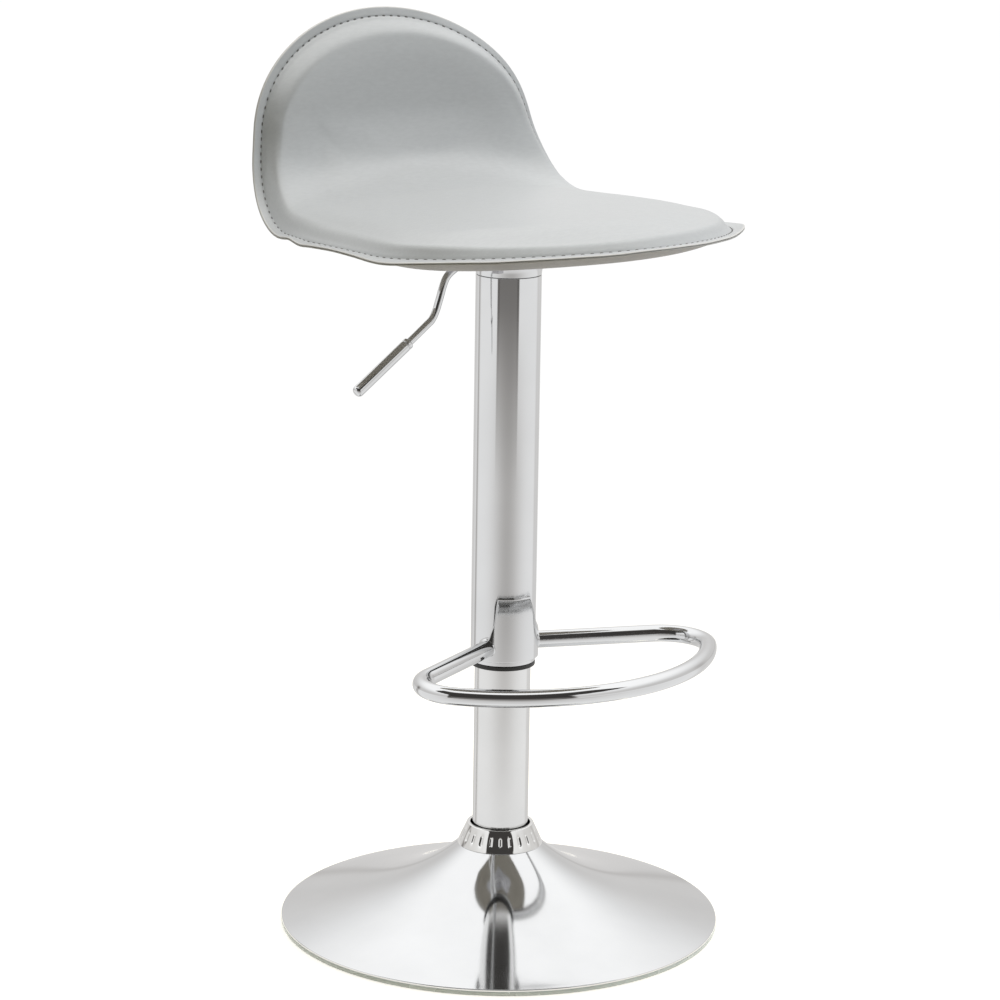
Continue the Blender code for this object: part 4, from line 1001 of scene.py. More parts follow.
@dataclass
class PaddedSeat:
    """One-piece seat and back: padded front, padded cover behind, and the sewn edge that joins them.

    Flat places are (s, x): s runs along the side profile from the front to the top of the back. The edge is
    followed from the front's middle by +X, and a share of it runs from 0 to 1. Soft bumps along it are
    (share of the edge, width, change).
    """

    finishes: Finishes
    seat_height: float = 0.652      # sewn edge above the floor
    front: float = 0.2124           # front edge ahead of the column's axis
    front_lift: float = 0.0147
    front_lift_start: float = 0.050
    front_lift_power: float = 1.54
    back_rise: float = 0.188
    back_reach: float = 0.2026
    recline: float = math.radians(4.4)
    bend_radius: float = 0.103
    back_dish: float = 0.022
    half_width: float = 0.198
    back_half_width: float = 0.161
    taper_lead: float = 0.042
    front_round: float = 0.159
    front_round_power: float = 1.83
    top_round: float = 0.114
    top_round_power: float = 1.96
    flange: float = 0.010           # sewn edge all round
    layer: float = 0.0015           # one cover's thickness at the sewn edge
    parting: float = 0.0001         # half of the gap between the two covers
    # the paler colour at the cut edge is partly painted highlight
    cut_width: float = 0.0005       # the cut edge's colour reaches this far in
    cut_rings: Triples = (           # (inset, height in partings, height in layers) round the cut edge
        (0.006, 1.0, 0.0), (0.0006, 1.0, 0.0), (0.0001, 2.0, 0.0), (0.0, 0.0, 0.5), (0.0004, 0.0, 0.825))
    pad_flat: tuple[float, ...] = (0.0012, 0.0035, 0.006, 0.0074)   # rings from there to the seam
    cover_flat: tuple[float, ...] = (0.0012, 0.0035, 0.006)
    pad_rise: float = 0.0150
    pad_shoulder: float = 0.021
    pad_fullness: float = 1.5       # slope of the shoulder at the seam
    pad_foot: float = 0.0012        # the pad's rise at the flange
    pad_crown: float = 0.011
    pad_rings: int = 16             # from the flange to the inner grid
    pad_crowding: float = 1.25      # they crowd at the flange
    pad_fill: float = 0.7
    cover_fill: float = 0.9
    back_rings: int = 5             # behind the pad
    cover_rings: int = 12           # on each face of the cover
    edge_droop: float = 0.0010      # the rim bends away from the pad all round
    back_droop: float = 0.0030      # and further on the back's +X side
    under_depth: float = 0.0133
    under_span: float = 0.060
    under_skin: float = 0.0032
    core_margin: float = 0.026
    core_sink: float = 0.006
    profile_steps: int = 60
    profile_points: int = 900
    outline_points: int = 6000
    edge_points: int = 240
    edge_oversampling: int = 4
    edge_smoothing: float = 0.010
    inner_inset: float = 0.070      # rings up to here, a grid inside
    grid_across: int = 45           # faces along the grid's short side
    seam: float = 0.0088            # stitch line, from the edge
    seam_depth: float = 0.0006
    seam_dents: Triple = (0.5, 1.0, 0.3)            # share of it before, on and after the stitch line
    pad_seam: Triple = (-0.0006, 0.0, 0.0006)       # places of these, from the line
    cover_seam: Triple = (-0.0006, 0.0, 0.0008)
    stitch_pitch: float = 0.0085
    stitch_length: float = 0.0036
    stitch_radius: float = 0.0007
    stitch_flatness: float = 1.2    # width of a stitch, by its height
    stitch_rise: float = 0.0002
    stitch_facets: tuple[int, int] = (8, 6)
    steep_places: Triples = (        # the shoulder is narrower here
        (0.00, 0.13, -0.010), (0.09, 0.08, -0.005), (0.36, 0.14, -0.009), (0.695, 0.085, -0.0105),
        (0.84, 0.10, -0.0098), (0.91, 0.06, -0.0012), (0.95, 0.06, -0.0035))
    thin_places: Triples = (         # the pad is thinner or thicker at its edge
        (0.04, 0.10, -0.0035), (0.19, 0.08, 0.003), (0.695, 0.06, 0.004), (0.94, 0.085, -0.005))
    wide_flange: Triples = (        # the sewn edge is wider or narrower
        (0.115, 0.055, 0.0030), (0.325, 0.090, -0.0045), (0.870, 0.060, 0.0015))
    sags: Triples = ((0.985, 0.10, -0.0024),)
    ripples: Triples = (             # folds of the rim
        (0.125, 0.050, 0.0055), (0.741, 0.007, 0.0018), (0.757, 0.006, -0.0012), (0.790, 0.020, 0.0015),
        (0.835, 0.022, -0.0022), (0.920, 0.060, -0.0012))
    waves: Triples = (               # (count, phase, height) on the rim
        (11, 0.7, 0.0002), (17, 2.1, 0.00014), (29, 4.0, 0.0001))
    swell: float = 0.0030           # the pad rises this far under pressure
    cloth_frames: int = 20
    cloth_quality: int = 6
    cloth_mass: float = 0.3
    stretch_stiffness: float = 30.0
    shear_stiffness: float = 15.0
    bending_stiffness: float = 20.0
    pressure: float = 4.0
    easing_passes: int = 24         # smooths the creases out of the swelling
    along: np.ndarray = field(init=False)
    curve: np.ndarray = field(init=False)
    normal: np.ndarray = field(init=False)

    def __post_init__(self) -> None:
        """Work out the side profile and the outline."""
        lift = self.front - self.front_lift_start
        ahead = [(-self.front_lift_start - lift * (1 - t),
                  self.seat_height + self.front_lift * (1 - t) ** self.front_lift_power)
                 for t in np.linspace(0, 1, self.profile_steps)]
        turn = math.pi / 2 - self.recline
        back_foot = self.back_reach - self.back_rise * math.tan(self.recline)
        start = back_foot - self.bend_radius * math.tan(turn / 2)
        bend = arc((start, self.seat_height + self.bend_radius), (self.bend_radius, self.bend_radius),
                   -90, math.degrees(turn) - 90, self.profile_steps - 1)
        points = np.array([*ahead, *bend, (self.back_reach, self.seat_height + self.back_rise)])
        run = distances(points)
        self.length = float(run[-1])
        self.along = np.linspace(0.0, self.length, self.profile_points)
        self.curve = sample(self.along, run, points)
        slope = np.gradient(self.curve, axis=0)
        self.normal = unit_rows(np.stack([-slope[:, 1], slope[:, 0]], axis=1))
        self.bend_start = float(np.interp(start, self.curve[:, 0], self.along))
        self.bend_end = self.bend_start + self.bend_radius * turn
        self.edge = self.outline()
        self.edge_shares = np.arange(self.edge_points) / self.edge_points
        step_along = np.roll(self.edge, -1, axis=0) - np.roll(self.edge, 1, axis=0)
        self.inward = unit_rows(np.stack([step_along[:, 1], -step_along[:, 0]], axis=1))

    def width_at(self, s: np.ndarray) -> np.ndarray:
        """Half width of the seat.

        Args:
            s: Distances along the profile.

        Returns:
            Half width at each.
        """
        narrow_to = self.length - self.top_round
        taper = (self.bend_start - self.taper_lead, narrow_to)
        width = np.interp(s, taper, (self.half_width, self.back_half_width))
        front = unit((self.front_round - s) / self.front_round)
        top = unit((s - narrow_to) / self.top_round)
        for share, power in ((front, self.front_round_power), (top, self.top_round_power)):
            width = width * (1 - share ** power) ** (1 / power)
        return width

    def outline(self) -> np.ndarray:
        """Edge of the seat, with its corners eased.

        Returns:
            Even flat points round it.
        """
        fine = self.length / 2 * (1 - np.cos(np.linspace(0, math.pi, self.outline_points)))
        side = np.stack([fine, self.width_at(fine)], axis=1)
        whole = np.concatenate([side, side[-2:0:-1] * np.array([1, -1]), side[:1]])
        run = distances(whole)
        self.perimeter = float(run[-1])
        count = self.edge_points * self.edge_oversampling
        even = sample(np.arange(count) * self.perimeter / count, run, whole)
        waves = 2 * math.pi * np.fft.fftfreq(count) * count / self.perimeter
        window = bell(waves, 1 / self.edge_smoothing)
        eased = np.fft.ifft(np.fft.fft(even, axis=0) * window[:, None], axis=0).real
        return eased[::self.edge_oversampling]

    def place(self, flat: np.ndarray) -> np.ndarray:
        """Put flat points into space.

        Args:
            flat: Rows of (s, x, height above the sewn edge's surface).

        Returns:
            Rows of (x, y, z).
        """
        s, x, height = flat.T
        y, z = sample(s, self.along, self.curve).T
        ny, nz = sample(s, self.along, self.normal).T
        dish = self.back_dish * ease(s, self.bend_start, self.bend_end) * (x / self.back_half_width) ** 2
        return np.stack([x, y + ny * (height + dish), z + nz * (height + dish)], axis=1)

    def inset_of(self, flat: np.ndarray) -> np.ndarray:
        """Distance of flat points from the edge."""
        return np.linalg.norm(flat[:, None, :2] - self.edge[None, :, :], axis=2).min(axis=1)

    def bumps(self, places: Triples) -> np.ndarray:
        """Sum of soft bumps along the edge.

        Args:
            places: (share of the edge, width, change) of each bump.

        Returns:
            Their sum at each point of the edge.
        """
        total = np.zeros(self.edge_points)
        for middle, width, change in places:
            away = (self.edge_shares - middle + 0.5) % 1.0 - 0.5
            total += change * bell(away * self.perimeter, width)
        return total

    def ring(self, inset: float) -> np.ndarray:
        """Ring inside the edge, further in where the sewn edge is wider.

        Args:
            inset: Distance from the edge.

        Returns:
            Flat points of the ring.
        """
        inside = (inset - self.flange) / (self.inner_inset - self.flange)
        share = unit(inset / self.flange) * unit(1 - inside)
        return self.edge + self.inward * (inset + share * self.bumps(self.wide_flange))[:, None]

    def sway(self, inset: float) -> np.ndarray:
        """How far the sewn edge strays from its surface: it sags, droops and waves.

        Args:
            inset: Distance from the edge.

        Returns:
            Height at each point of the ring at that inset.
        """
        rim = unit(1 - inset / self.flange)
        inside = unit((inset - self.flange) / self.pad_shoulder)
        waves = sum(height * np.sin(count * 2 * math.pi * self.edge_shares + phase)
                    for count, phase, height in self.waves)
        share = unit((self.edge[:, 0] - self.bend_start) / (self.bend_end - self.bend_start))
        lean = self.back_droop * share * unit(0.5 + self.edge[:, 1] / self.back_half_width)
        edge = waves + self.bumps(self.ripples) - self.edge_droop - lean
        return edge * rim + self.bumps(self.sags) * (1 - inside) ** 2

    def crown(self, inset: Values, shoulder: Values, extra: Values) -> Values:
        """Height of the pad before it swells: its shoulder, and the soft crown inside it.

        Args:
            inset: Distance from the edge.
            shoulder: Width of the shoulder.
            extra: Extra thickness near the edge.

        Returns:
            Height above the sewn edge's surface.
        """
        side = unit((inset - self.flange) / shoulder)
        rise = self.pad_rise + extra * (1 - ease(inset, self.flange + shoulder, self.inner_inset))
        share = unit((inset - self.flange) / (self.half_width - self.flange))
        slope = self.pad_fullness * side * (1 - side) ** 2 + ease(side)
        return self.layer + rise * slope + self.pad_crown * (1 - (1 - share) ** 2) - self.swell * side

    def bowl(self, inset: Values, depth: float) -> Values:
        """Height of a shallow bowl below the sewn edge's surface, at an inset."""
        share = unit((inset - self.flange) / self.under_span)
        return -depth * (1 - (1 - share) ** 2)

    @property
    def grid_span(self) -> int:
        """Faces along the long side of the grid inside a ring."""
        return self.edge_points // 2 - self.grid_across

    def rings_mesh(self, name: str, rings: Sequence[tuple[float, Values]], front: Heights,
                   back: Heights) -> Workpiece:
        """Mesh of rings, from the inner ring of one face round the edge to that of the other.

        Args:
            name: Name of the piece.
            rings: (inset, height) of each ring in order.
            front: Height of the grid inside the last ring, by inset.
            back: Height of the grid inside the first ring, by inset.

        Returns:
            The piece in edit mode, mapped into space, with its "cut" attribute.
        """
        Workpiece.clear()
        bpy.ops.mesh.primitive_circle_add(vertices=self.edge_points, radius=1.0)
        piece = Workpiece(name)
        for _ in rings[1:]:
            piece.extrude((0, 0, 0))
        bpy.ops.object.mode_set(mode="OBJECT")
        mesh = piece.item.data
        flat = np.concatenate([np.column_stack([self.ring(inset), height + self.sway(inset)])
                               for inset, height in rings])
        mesh.vertices.foreach_set("co", flat.ravel())
        bpy.ops.object.mode_set(mode="EDIT")
        for ring, heights in ((0, back), (len(rings) - 1, front)):
            self.grid_inside(piece, ring, heights)
        bpy.ops.object.mode_set(mode="OBJECT")
        flat = np.array([vertex.co for vertex in mesh.vertices])
        mesh.vertices.foreach_set("co", self.place(flat).ravel())
        rim = np.zeros(len(flat))
        # marks the rim ring for the paler cut-edge colour, which is partly painted highlight
        cut = np.repeat([inset < self.cut_width for inset, _ in rings], self.edge_points)
        rim[:len(cut)] = cut
        mesh.attributes.new("cut", "FLOAT", "POINT").data.foreach_set("value", rim)
        bpy.ops.object.mode_set(mode="EDIT")
        piece.clean()
        return piece

    def grid_inside(self, piece: Workpiece, ring: int, heights: Heights) -> None:
        """Fill a ring with a grid.

        Args:
            piece: The flat piece, in edit mode.
            ring: Number of the ring.
            heights: Height of the grid, by inset.
        """
        mesh = bmesh.from_edit_mesh(piece.item.data)
        mesh.verts.ensure_lookup_table()
        bpy.ops.mesh.select_all(action="DESELECT")
        bpy.ops.mesh.select_mode(type="EDGE")
        before = len(mesh.verts)
        loop = mesh.verts[ring * self.edge_points:(ring + 1) * self.edge_points]
        for vertex, following in zip(loop, loop[1:] + loop[:1]):
            mesh.edges.get((vertex, following)).select_set(True)
        mesh.select_history.clear()
        bmesh.update_edit_mesh(piece.item.data)
        bpy.ops.mesh.fill_grid(span=self.grid_span, offset=self.grid_across // 2)
        mesh = bmesh.from_edit_mesh(piece.item.data)
        mesh.verts.ensure_lookup_table()
        new = mesh.verts[before:]
        raised = heights(self.inset_of(np.array([vertex.co for vertex in new])))
        for vertex, height in zip(new, raised):
            vertex.co.z = height
        bmesh.update_edit_mesh(piece.item.data)

    def blow_up(self, item: bpy.types.Object, loose: np.ndarray) -> None:
        """Run the cloth simulation on a padded piece, and keep its last frame.

        Args:
            item: The piece, in object mode.
            loose: 0 for each vertex that is pinned and 1 for each that is free.
        """
        pin = item.vertex_groups.new(name="sewn")
        pin.add(np.flatnonzero(loose == 0).tolist(), 1.0, "REPLACE")
        cloth = item.modifiers.new("cloth", "CLOTH")
        settings = cloth.settings
        settings.quality = self.cloth_quality
        settings.mass = self.cloth_mass
        settings.tension_stiffness = settings.compression_stiffness = self.stretch_stiffness
        settings.shear_stiffness = self.shear_stiffness
        settings.bending_stiffness = self.bending_stiffness
        settings.vertex_group_mass = pin.name
        settings.use_pressure = True
        settings.uniform_pressure_force = self.pressure
        settings.effector_weights.gravity = 0.0
        for frame in range(1, self.cloth_frames + 1):
            bpy.context.scene.frame_set(frame)
        bpy.ops.object.modifier_apply(modifier=cloth.name)
        bpy.context.scene.frame_set(1)
        item.vertex_groups.clear()

    def inflate(self, piece: Workpiece, free: Sequence[slice]) -> None:
        """Swell a padded piece under air pressure, no further than the swell, and smooth the swelling.

        Args:
            piece: The padded piece, in edit mode.
            free: Ranges of vertices that may move. The others are pinned.
        """
        bpy.ops.object.mode_set(mode="OBJECT")
        item = piece.item
        before = np.array([vertex.co for vertex in item.data.vertices])
        loose = np.zeros(len(before))
        for vertices in free:
            loose[vertices] = 1.0
        self.blow_up(item, loose)
        moved = np.array([vertex.co for vertex in item.data.vertices]) - before
        reach = np.linalg.norm(moved, axis=1)
        LOG.info("%s swells by up to %.1f mm", item.name, 1000 * reach.max())
        moved *= (self.swell / np.maximum(reach, self.swell))[:, None]
        edges = np.array([edge.vertices for edge in item.data.edges])
        count = np.maximum(np.bincount(edges.ravel(), minlength=len(before)), 1)[:, None]
        for _ in range(self.easing_passes):
            mean = np.zeros_like(moved)
            np.add.at(mean, edges[:, 0], moved[edges[:, 1]])
            np.add.at(mean, edges[:, 1], moved[edges[:, 0]])
            moved = (0.5 * moved + 0.5 * mean / count) * loose[:, None]
        item.data.vertices.foreach_set("co", (before + moved).ravel())
        item.data.update()

    def insets(self, count: int, power: float = 1.0) -> list[float]:
        """Insets of rings from the flange to the inner grid, without the flange's own."""
        return spaced(self.flange, self.inner_inset, count, power)[1:]

    def sewn_edge(self, side: int, flat: Sequence[float], seam: Triple) -> list[Pair]:
        """Rings of a cover's sewn edge, from its inner face round the cut edge and over the seam.

        Args:
            side: 1 for the pad, -1 for the cover behind it.
            flat: Insets of the rings between the cut edge and the seam.
            seam: Places of the rings of the seam, from the stitch line.

        Returns:
            (inset, height) of each ring in order.
        """
        rings = [(inset, partings * self.parting + layers * self.layer)
                 for inset, partings, layers in self.cut_rings]
        rings += [(inset, self.layer) for inset in flat]
        rings += [(self.seam + shift, self.layer - dent * self.seam_depth)
                  for shift, dent in zip(seam, self.seam_dents)]
        return [(inset, side * height) for inset, height in rings]

    def build_pad(self) -> None:
        """Padded front with its sewn edge."""
        def behind(inset: Values) -> Values:
            """Height of the pad's rear face."""
            return self.bowl(inset, self.core_sink) + self.parting

        def ahead(inset: Values) -> Values:
            """Height of the pad's front inside its rings."""
            return self.crown(inset, self.pad_shoulder, 0.0)

        shoulder = self.pad_shoulder + self.bumps(self.steep_places)
        extra = self.bumps(self.thin_places)
        rings = [(inset, behind(inset)) for inset in reversed(self.insets(self.back_rings))]
        rings += self.sewn_edge(1, self.pad_flat, self.pad_seam)
        rings.append((self.flange, self.layer + self.pad_foot))
        pinned = len(rings) * self.edge_points
        rings += [(inset, self.crown(inset, shoulder, extra))
                  for inset in self.insets(self.pad_rings, self.pad_crowding)]
        pad = self.rings_mesh("seat_pad_cover", rings, ahead, behind)
        ring_end = len(rings) * self.edge_points
        back_end = ring_end + (self.grid_across - 1) * (self.grid_span - 1)
        self.inflate(pad, (slice(pinned, ring_end), slice(back_end, None)))
        pad.apply("SUBSURF", levels=1, render_levels=1)
        item = pad.done(self.finishes, Slot.LEATHERETTE, Body.CARRIAGE, "seat_pad")

    def build_cover(self) -> None:
        """Padded cover below and behind, in a darker copy of the leatherette that paints its shade."""
        def outside(inset: Values) -> Values:
            """Height of the cover's outer face."""
            return self.bowl(inset, self.under_depth) - self.layer

        def inside(inset: Values) -> Values:
            """Height of the cover's inner face, against the core."""
            seam = unit((inset - self.flange) / (self.core_margin - self.flange))
            return (outside(inset) + self.under_skin) * seam - self.parting * (1 - seam)

        inner = self.insets(self.cover_rings)
        rings = [(inset, inside(inset)) for inset in reversed(inner)]
        rings += self.sewn_edge(-1, self.cover_flat, self.cover_seam)
        rings += [(inset, outside(inset)) for inset in inner]
        cover = self.rings_mesh("under_cover_soft", rings, outside, inside)
        cover.apply("SUBSURF", levels=1, render_levels=1)
        # the darker leatherette of the cover is painted shade
        item = cover.done(self.finishes, Slot.LEATHERETTE, Body.CARRIAGE, "under_cover",
                          finish=self.finishes.shaded_underside)

    def build_stitches(self) -> None:
        """Row of stitches along the seam, above and below."""
        Workpiece.clear()
        segments, rings = self.stitch_facets
        bpy.ops.mesh.primitive_uv_sphere_add(segments=segments, ring_count=rings, radius=1.0)
        stitch = Workpiece("seam_stitches")
        bpy.ops.object.mode_set(mode="OBJECT")
        one = np.array([vertex.co for vertex in stitch.item.data.vertices])
        faces = [np.array(face.vertices) for face in stitch.item.data.polygons]
        line = np.column_stack([self.ring(self.seam), self.sway(self.seam)])
        line = np.concatenate([line, line[:1]])
        run = distances(line[:, :2])
        count = round(float(run[-1]) / self.stitch_pitch)
        middles = (np.arange(count) + 0.5) * run[-1] / count
        half = self.stitch_length / 2
        rows = []
        for side in (1, -1):
            height = side * (self.layer - self.seam_depth + self.stitch_rise)
            start, centre, end, above = (
                self.place(sample(middles + shift, run, line) + np.array([0.0, 0.0, height + lift]))
                for shift, lift in ((-half, 0.0), (0.0, 0.0), (half, 0.0), (0.0, half)))
            tangent, upward = unit_rows(end - start), unit_rows(above - centre)
            axes = (np.cross(upward, tangent) * self.stitch_radius * self.stitch_flatness,
                    upward * self.stitch_radius, tangent * half)
            rows.append(centre[:, None] + np.einsum("vk,kcd->cvd", one, np.array(axes)))
        vertices = np.concatenate(rows).reshape(-1, 3)
        mesh = bpy.data.meshes.new("seam_stitches")
        mesh.from_pydata(vertices.tolist(), [], [
            (base + face).tolist() for base in range(0, len(vertices), len(one)) for face in faces])
        stitch.item.data = mesh
        bpy.ops.object.mode_set(mode="EDIT")
        stitch.clean()
        stitch.done(self.finishes, Slot.LEATHERETTE, Body.CARRIAGE, finish=self.finishes.thread)

    def build(self) -> None:
        """Build the seat's pieces."""
        self.build_pad()
        self.build_cover()
        self.build_stitches()


@dataclass(frozen=True)
class SoftBox:
    """Square soft box of the studio."""

    name: str
    place: Triple
    target: Triple
    size: float
    power: float
    colour: Colour

    def build(self) -> None:
        """Hang the box and aim it."""
        data = bpy.data.lights.new(self.name, "AREA")
        data.shape = "SQUARE"
        data.size = self.size
        data.color = self.colour
        data.energy = self.power
        lamp = bpy.data.objects.new(self.name, data)
        lamp.location = self.place
        aim = Vector(self.target) - Vector(self.place)
        lamp.rotation_euler = aim.to_track_quat("-Z", "Y").to_euler()
        lamp.visible_camera = lamp.visible_glossy = False
        bpy.context.scene.collection.objects.link(lamp)


@dataclass
class Studio:
    """White floor, soft light, the dark end of the studio and the photograph's camera.

    Angles round the room are degrees from the camera's direction, and elevations are degrees above the floor.
    """

    azimuth: float = math.radians(38.35)
    distance: float = 3.0
    camera_height: float = 1.0939
    focal_length: float = 3.3505    # by the image's width
    sensor_width: float = 36.0
    view_limit: float = 100.0
    yaw: float = -0.0016
    pitch: float = 0.2260
    roll: float = 0.0155
    boxes: tuple[SoftBox, ...] = (
        SoftBox("overhead_box", (0.35, 0.25, 2.6), (0.0, 0.0, 0.6), 2.4, 30.0, (1.0, 0.945, 0.865)),
        SoftBox("right_box", (2.0, -1.8, 1.7), (0.0, 0.0, 0.7), 1.6, 10.0, (0.82, 0.91, 1.0)))
    light_from: Triple = (0.25, 0.10, 0.95)
    light_span: Pair = (0.36, 1.0)
    shade_light: Colour = (0.076, 0.070, 0.042)
    sky_light: Colour = (0.80, 0.81, 0.82)
    flag_size: float = 2.0
    flag_place: Triple = (-0.75, -0.55, 0.65)
    flag_turn: float = math.radians(36)
    flag_colour: Colour = (0.115, 0.105, 0.03)
    floor_size: float = 24.0
    floor_white: Colour = (0.86, 0.82, 0.72)
    floor_roughness: float = 0.9
    floor_gloss: float = 0.1
    floor_glow: float = 0.56        # so that lit floor is white
    floor_fade: Pair = (0.55, 1.3)  # the shadow fades out over these distances
    room_grid: tuple[int, int, int] = (240, 36, 36)     # columns, rows of the floor, rows of the wall
    room_near: float = 0.215
    room_radius: float = 4.0
    room_top: float = 90.0
    room_lift: float = 0.004
    room_warmth: Triple = (0.06, 0.0, -0.05)
    wall_light: float = 0.74        # the far walls
    wall_rise: Pair = (12.0, 48.0)  # they brighten up to the soft box
    wall_foot: Pair = (0.0, 3.0)
    ceiling_light: float = 1.30     # the soft box overhead
    ceiling_rise: Pair = (60.0, 68.0)
    soft_dark: float = 0.45         # shade on the floor, towards the dark end
    soft_side: Pair = (-8.0, 34.0)  # its middle and width
    soft_reach: Triples = ((0.45, 0.3, 0.5), (0.55, 0.6, 1.1))  # (share, start, end) of its rise, by distance
    far_reach: Pair = (1.9, 3.5)    # the floor gives way to the walls
    hard_dark: float = 0.21         # the dark end
    dark_half: float = 38.0         # half of its width
    dark_blur: float = 1.5
    dark_rim: Pair = (28.0, 33.0)
    rim_depth: float = 0.35
    upper_dark: float = 0.05        # the dark ceiling over it
    upper_half: float = 80.0
    upper_rise: Pair = (8.0, 18.0)
    upper_widening: Pair = (30.0, 44.0)
    behind_dark: float = 0.27       # of the floor behind the object
    behind_side: Pair = (115.0, 150.0)
    behind_rise: Pair = (0.0, 6.0)
    dark_strips: Triples = ((119.0, 4.0, 0.5), (-126.0, 5.0, 0.15))  # (angle, width, depth)
    strip_rise: Pair = (10.0, 25.0)

    def build_camera(self) -> None:
        """Camera at the photograph's place and angle."""
        ahead = Vector((math.sin(self.azimuth), math.cos(self.azimuth), 0.0))
        side = Vector((math.cos(self.azimuth), -math.sin(self.azimuth), 0.0))
        forward = ahead * math.cos(self.yaw) + side * math.sin(self.yaw)
        right = side * math.cos(self.yaw) - ahead * math.sin(self.yaw)
        view = forward * math.cos(self.pitch) - UP * math.sin(self.pitch)
        above = forward * math.sin(self.pitch) + UP * math.cos(self.pitch)
        image_right = right * math.cos(self.roll) + above * math.sin(self.roll)
        image_up = above * math.cos(self.roll) - right * math.sin(self.roll)
        turn = Matrix((image_right, image_up, -view)).transposed().to_4x4()
        data = bpy.data.cameras.new("photo_camera")
        data.sensor_width = self.sensor_width
        data.lens = self.sensor_width * self.focal_length
        data.clip_end = self.view_limit
        camera = bpy.data.objects.new("photo_camera", data)
        camera.matrix_world = Matrix.Translation(-ahead * self.distance + UP * self.camera_height) @ turn
        bpy.context.scene.collection.objects.link(camera)
        bpy.context.scene.camera = camera

    @staticmethod
    def seen_directly(nodes: Nodes) -> Socket:
        """Tell what is seen from what only lights the object.

        Args:
            nodes: Node tree that asks.

        Returns:
            Factor that is 1 for what the camera, a mirror or clear plastic shows.
        """
        path = nodes.node("LightPath")
        total = path.outputs["Is Camera Ray"]
        for name in ("Is Glossy Ray", "Is Transmission Ray"):
            total = nodes.node("Math", total, path.outputs[name], operation="MAXIMUM").outputs["Value"]
        return total

    @staticmethod
    def put_on_stage(item: bpy.types.Object, name: str, recipe: Recipe, *hidden: str) -> None:
        """Name and dress a piece of the studio, and hide it from the kinds of rays that pass it.

        Args:
            item: The piece.
            name: Its name.
            recipe: Its material.
            hidden: Kinds of rays that pass it.
        """
        item.name = name
        item.data.materials.append(recipe.material)
        for kind in hidden:
            setattr(item, "visible_" + kind, False)

    def build_world(self) -> None:
        """White surroundings, whose light on the object comes mostly from above."""
        world = bpy.data.worlds.new("white_studio")
        world.use_nodes = True
        nodes = Nodes(world.node_tree)
        around = nodes.node("TexCoord").outputs["Generated"]
        source = Vector(self.light_from).normalized()
        facing = nodes.node("VectorMath", around, source, operation="DOT_PRODUCT").outputs["Value"]
        share = nodes.spread(facing, 0.0, 1.0, (-1.0, 1.0))
        light = nodes.blend(share, self.shade_light, self.sky_light, self.light_span, "EASE")
        shown = nodes.mix(self.seen_directly(nodes), light, (*WHITE, 1.0))
        nodes.put(nodes.tree.nodes["Background"].inputs["Color"], shown)
        bpy.context.scene.world = world

    def build_floor(self) -> None:
        """White floor that keeps the object's shadow near it."""
        Workpiece.clear()
        bpy.ops.mesh.primitive_plane_add(size=self.floor_size)
        recipe = Recipe("white_floor")
        away = recipe.node("VectorMath", recipe.coordinates, operation="LENGTH").outputs["Value"]
        far = recipe.spread(away, 0.0, 1.0, self.floor_fade)
        glow = recipe.spread(far, self.floor_glow, 1.0, WHOLE)
        shown = recipe.node("Math", self.seen_directly(recipe), glow, operation="MULTIPLY")
        recipe.set(Base_Color=recipe.blend(far, self.floor_white, BLACK, WHOLE),
                   Roughness=self.floor_roughness, Specular_IOR_Level=self.floor_gloss,
                   Emission_Color=(*WHITE, 1.0), Emission_Strength=shown.outputs["Value"])
        recipe.material.cycles.emission_sampling = "NONE"
        self.put_on_stage(bpy.context.object, "studio_floor", recipe)

    def glow(self, azimuth: np.ndarray, radius: np.ndarray, elevation: np.ndarray) -> np.ndarray:
        """Brightness that a mirror shows of the room.

        Args:
            azimuth: Angles round the room.
            radius: Distances on the floor from the column.
            elevation: Elevations on the far wall.

        Returns:
            Brightness at each place.
        """
        side = np.abs(azimuth)
        reach = sum(share * ease(radius, start, end) for share, start, end in self.soft_reach)
        soft = 1 - self.soft_dark * reach * bell(azimuth - self.soft_side[0], self.soft_side[1])
        behind = self.behind_dark * ease(side, *self.behind_side) * (1 - ease(elevation, *self.behind_rise))
        half = self.dark_half + (self.upper_half - self.dark_half) * ease(elevation, *self.upper_widening)
        inside = 1 - ease(side, half - self.dark_blur, half + self.dark_blur)
        far = unit((radius - self.far_reach[0]) / (self.far_reach[1] - self.far_reach[0]))
        dark = self.hard_dark * (1 - self.rim_depth * ease(side, *self.dark_rim))
        dark += (self.upper_dark - dark) * ease(elevation, *self.upper_rise)
        dark += (self.ceiling_light - dark) * ease(elevation, *self.ceiling_rise)
        wall = self.wall_light + (self.ceiling_light - self.wall_light) * ease(elevation, *self.wall_rise)
        bright = 1 + (wall - 1) * ease(elevation, *self.wall_foot)
        level = soft + (bright - soft) * far * (1 - inside) + (dark - soft) * far * inside
        for place, width, depth in self.dark_strips:
            level -= depth * bell(azimuth - place, width) * (1 - ease(elevation, *self.strip_rise))
        return level - behind

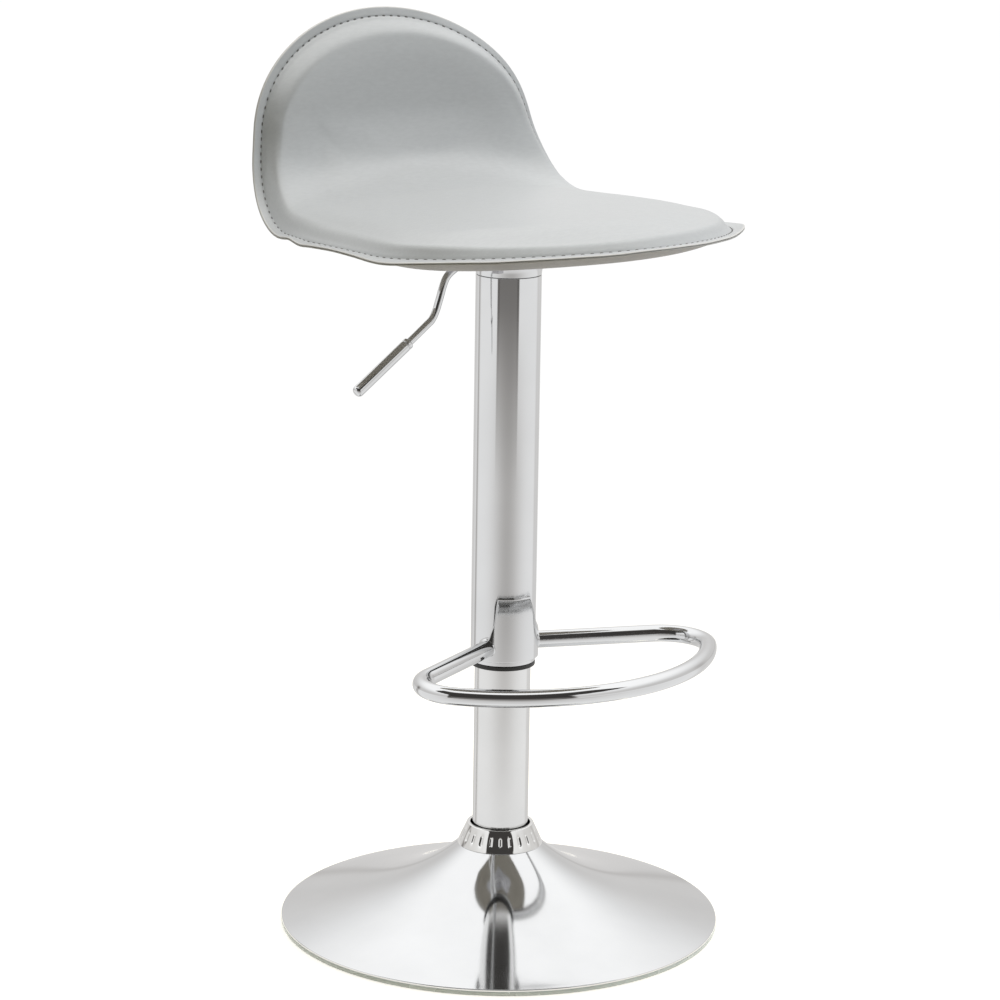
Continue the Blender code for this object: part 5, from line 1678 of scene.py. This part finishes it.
    def build_surround(self) -> None:
        """Room round the object as its mirrors show it: white, with the dark end behind the camera."""
        columns, floor_rows, wall_rows = self.room_grid
        rows = floor_rows + wall_rows
        Workpiece.clear()
        bpy.ops.mesh.primitive_grid_add(x_subdivisions=columns, y_subdivisions=rows, size=1.0)
        room = bpy.context.object
        across, up, _ = np.array([vertex.co for vertex in room.data.vertices]).T
        row = (up + 0.5) * rows
        azimuth = 360 * across
        radius = self.room_near + (self.room_radius - self.room_near) * np.minimum(row / floor_rows, 1.0)
        elevation = np.maximum(row - floor_rows, 0.0) / wall_rows * self.room_top
        turn = self.azimuth + math.pi + np.radians(azimuth)
        reach = radius * np.cos(np.radians(elevation))
        height = self.room_lift + self.room_radius * np.sin(np.radians(elevation))
        places = np.stack([reach * np.sin(turn), reach * np.cos(turn), height], axis=1)
        room.data.vertices.foreach_set("co", places.ravel())
        room.data.update()
        level = self.glow(azimuth, radius, elevation)[:, None]
        colours = level * (1 + np.array(self.room_warmth) * np.maximum(1 - level, 0.0))
        shade = room.data.color_attributes.new("room_light", "FLOAT_COLOR", "POINT")
        shade.data.foreach_set("color", np.column_stack([colours, np.ones(len(level))]).ravel())
        recipe = Recipe("room_light")
        light = recipe.node("Attribute", attribute_name="room_light").outputs["Color"]
        recipe.set(Base_Color=(*BLACK, 1.0), Specular_IOR_Level=0.0,
                   Emission_Color=light, Emission_Strength=1.0)
        recipe.material.cycles.emission_sampling = "NONE"
        self.put_on_stage(room, "mirrored_room", recipe, "camera", "diffuse", "shadow", "transmission")

    def build_flag(self) -> None:
        """Dark flag on the left, which takes light from the seat's side and shows nowhere."""
        Workpiece.clear()
        bpy.ops.mesh.primitive_plane_add(
            size=self.flag_size, location=self.flag_place, rotation=(0.0, math.pi / 2, self.flag_turn))
        bpy.ops.object.transform_apply(location=True, rotation=True, scale=True)
        flag = bpy.context.object
        recipe = Recipe("flag_cloth")
        recipe.set(Base_Color=(*self.flag_colour, 1.0), Roughness=1.0, Specular_IOR_Level=0.0)
        self.put_on_stage(flag, "black_flag", recipe, "camera", "glossy", "shadow", "transmission")

    def build(self) -> None:
        """Set up the studio."""
        bpy.context.scene.view_settings.view_transform = "Standard"
        self.build_camera()
        self.build_world()
        self.build_floor()
        self.build_surround()
        self.build_flag()
        for box in self.boxes:
            box.build()


def main() -> None:
    """Build the stool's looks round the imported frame."""
    logging.basicConfig(level=logging.INFO, format="%(message)s")
    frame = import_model()
    finishes = Finishes()
    LOG.info("%d CAD nodes dressed", finishes.carry_over(frame))
    for assembly in (TrumpetBase(finishes), Column(finishes), FootRest(finishes), LiftLever(finishes),
                     PaddedSeat(finishes), Studio()):
        assembly.build()
        LOG.info("%s built", type(assembly).__name__)


if __name__ == "__main__":
    main()
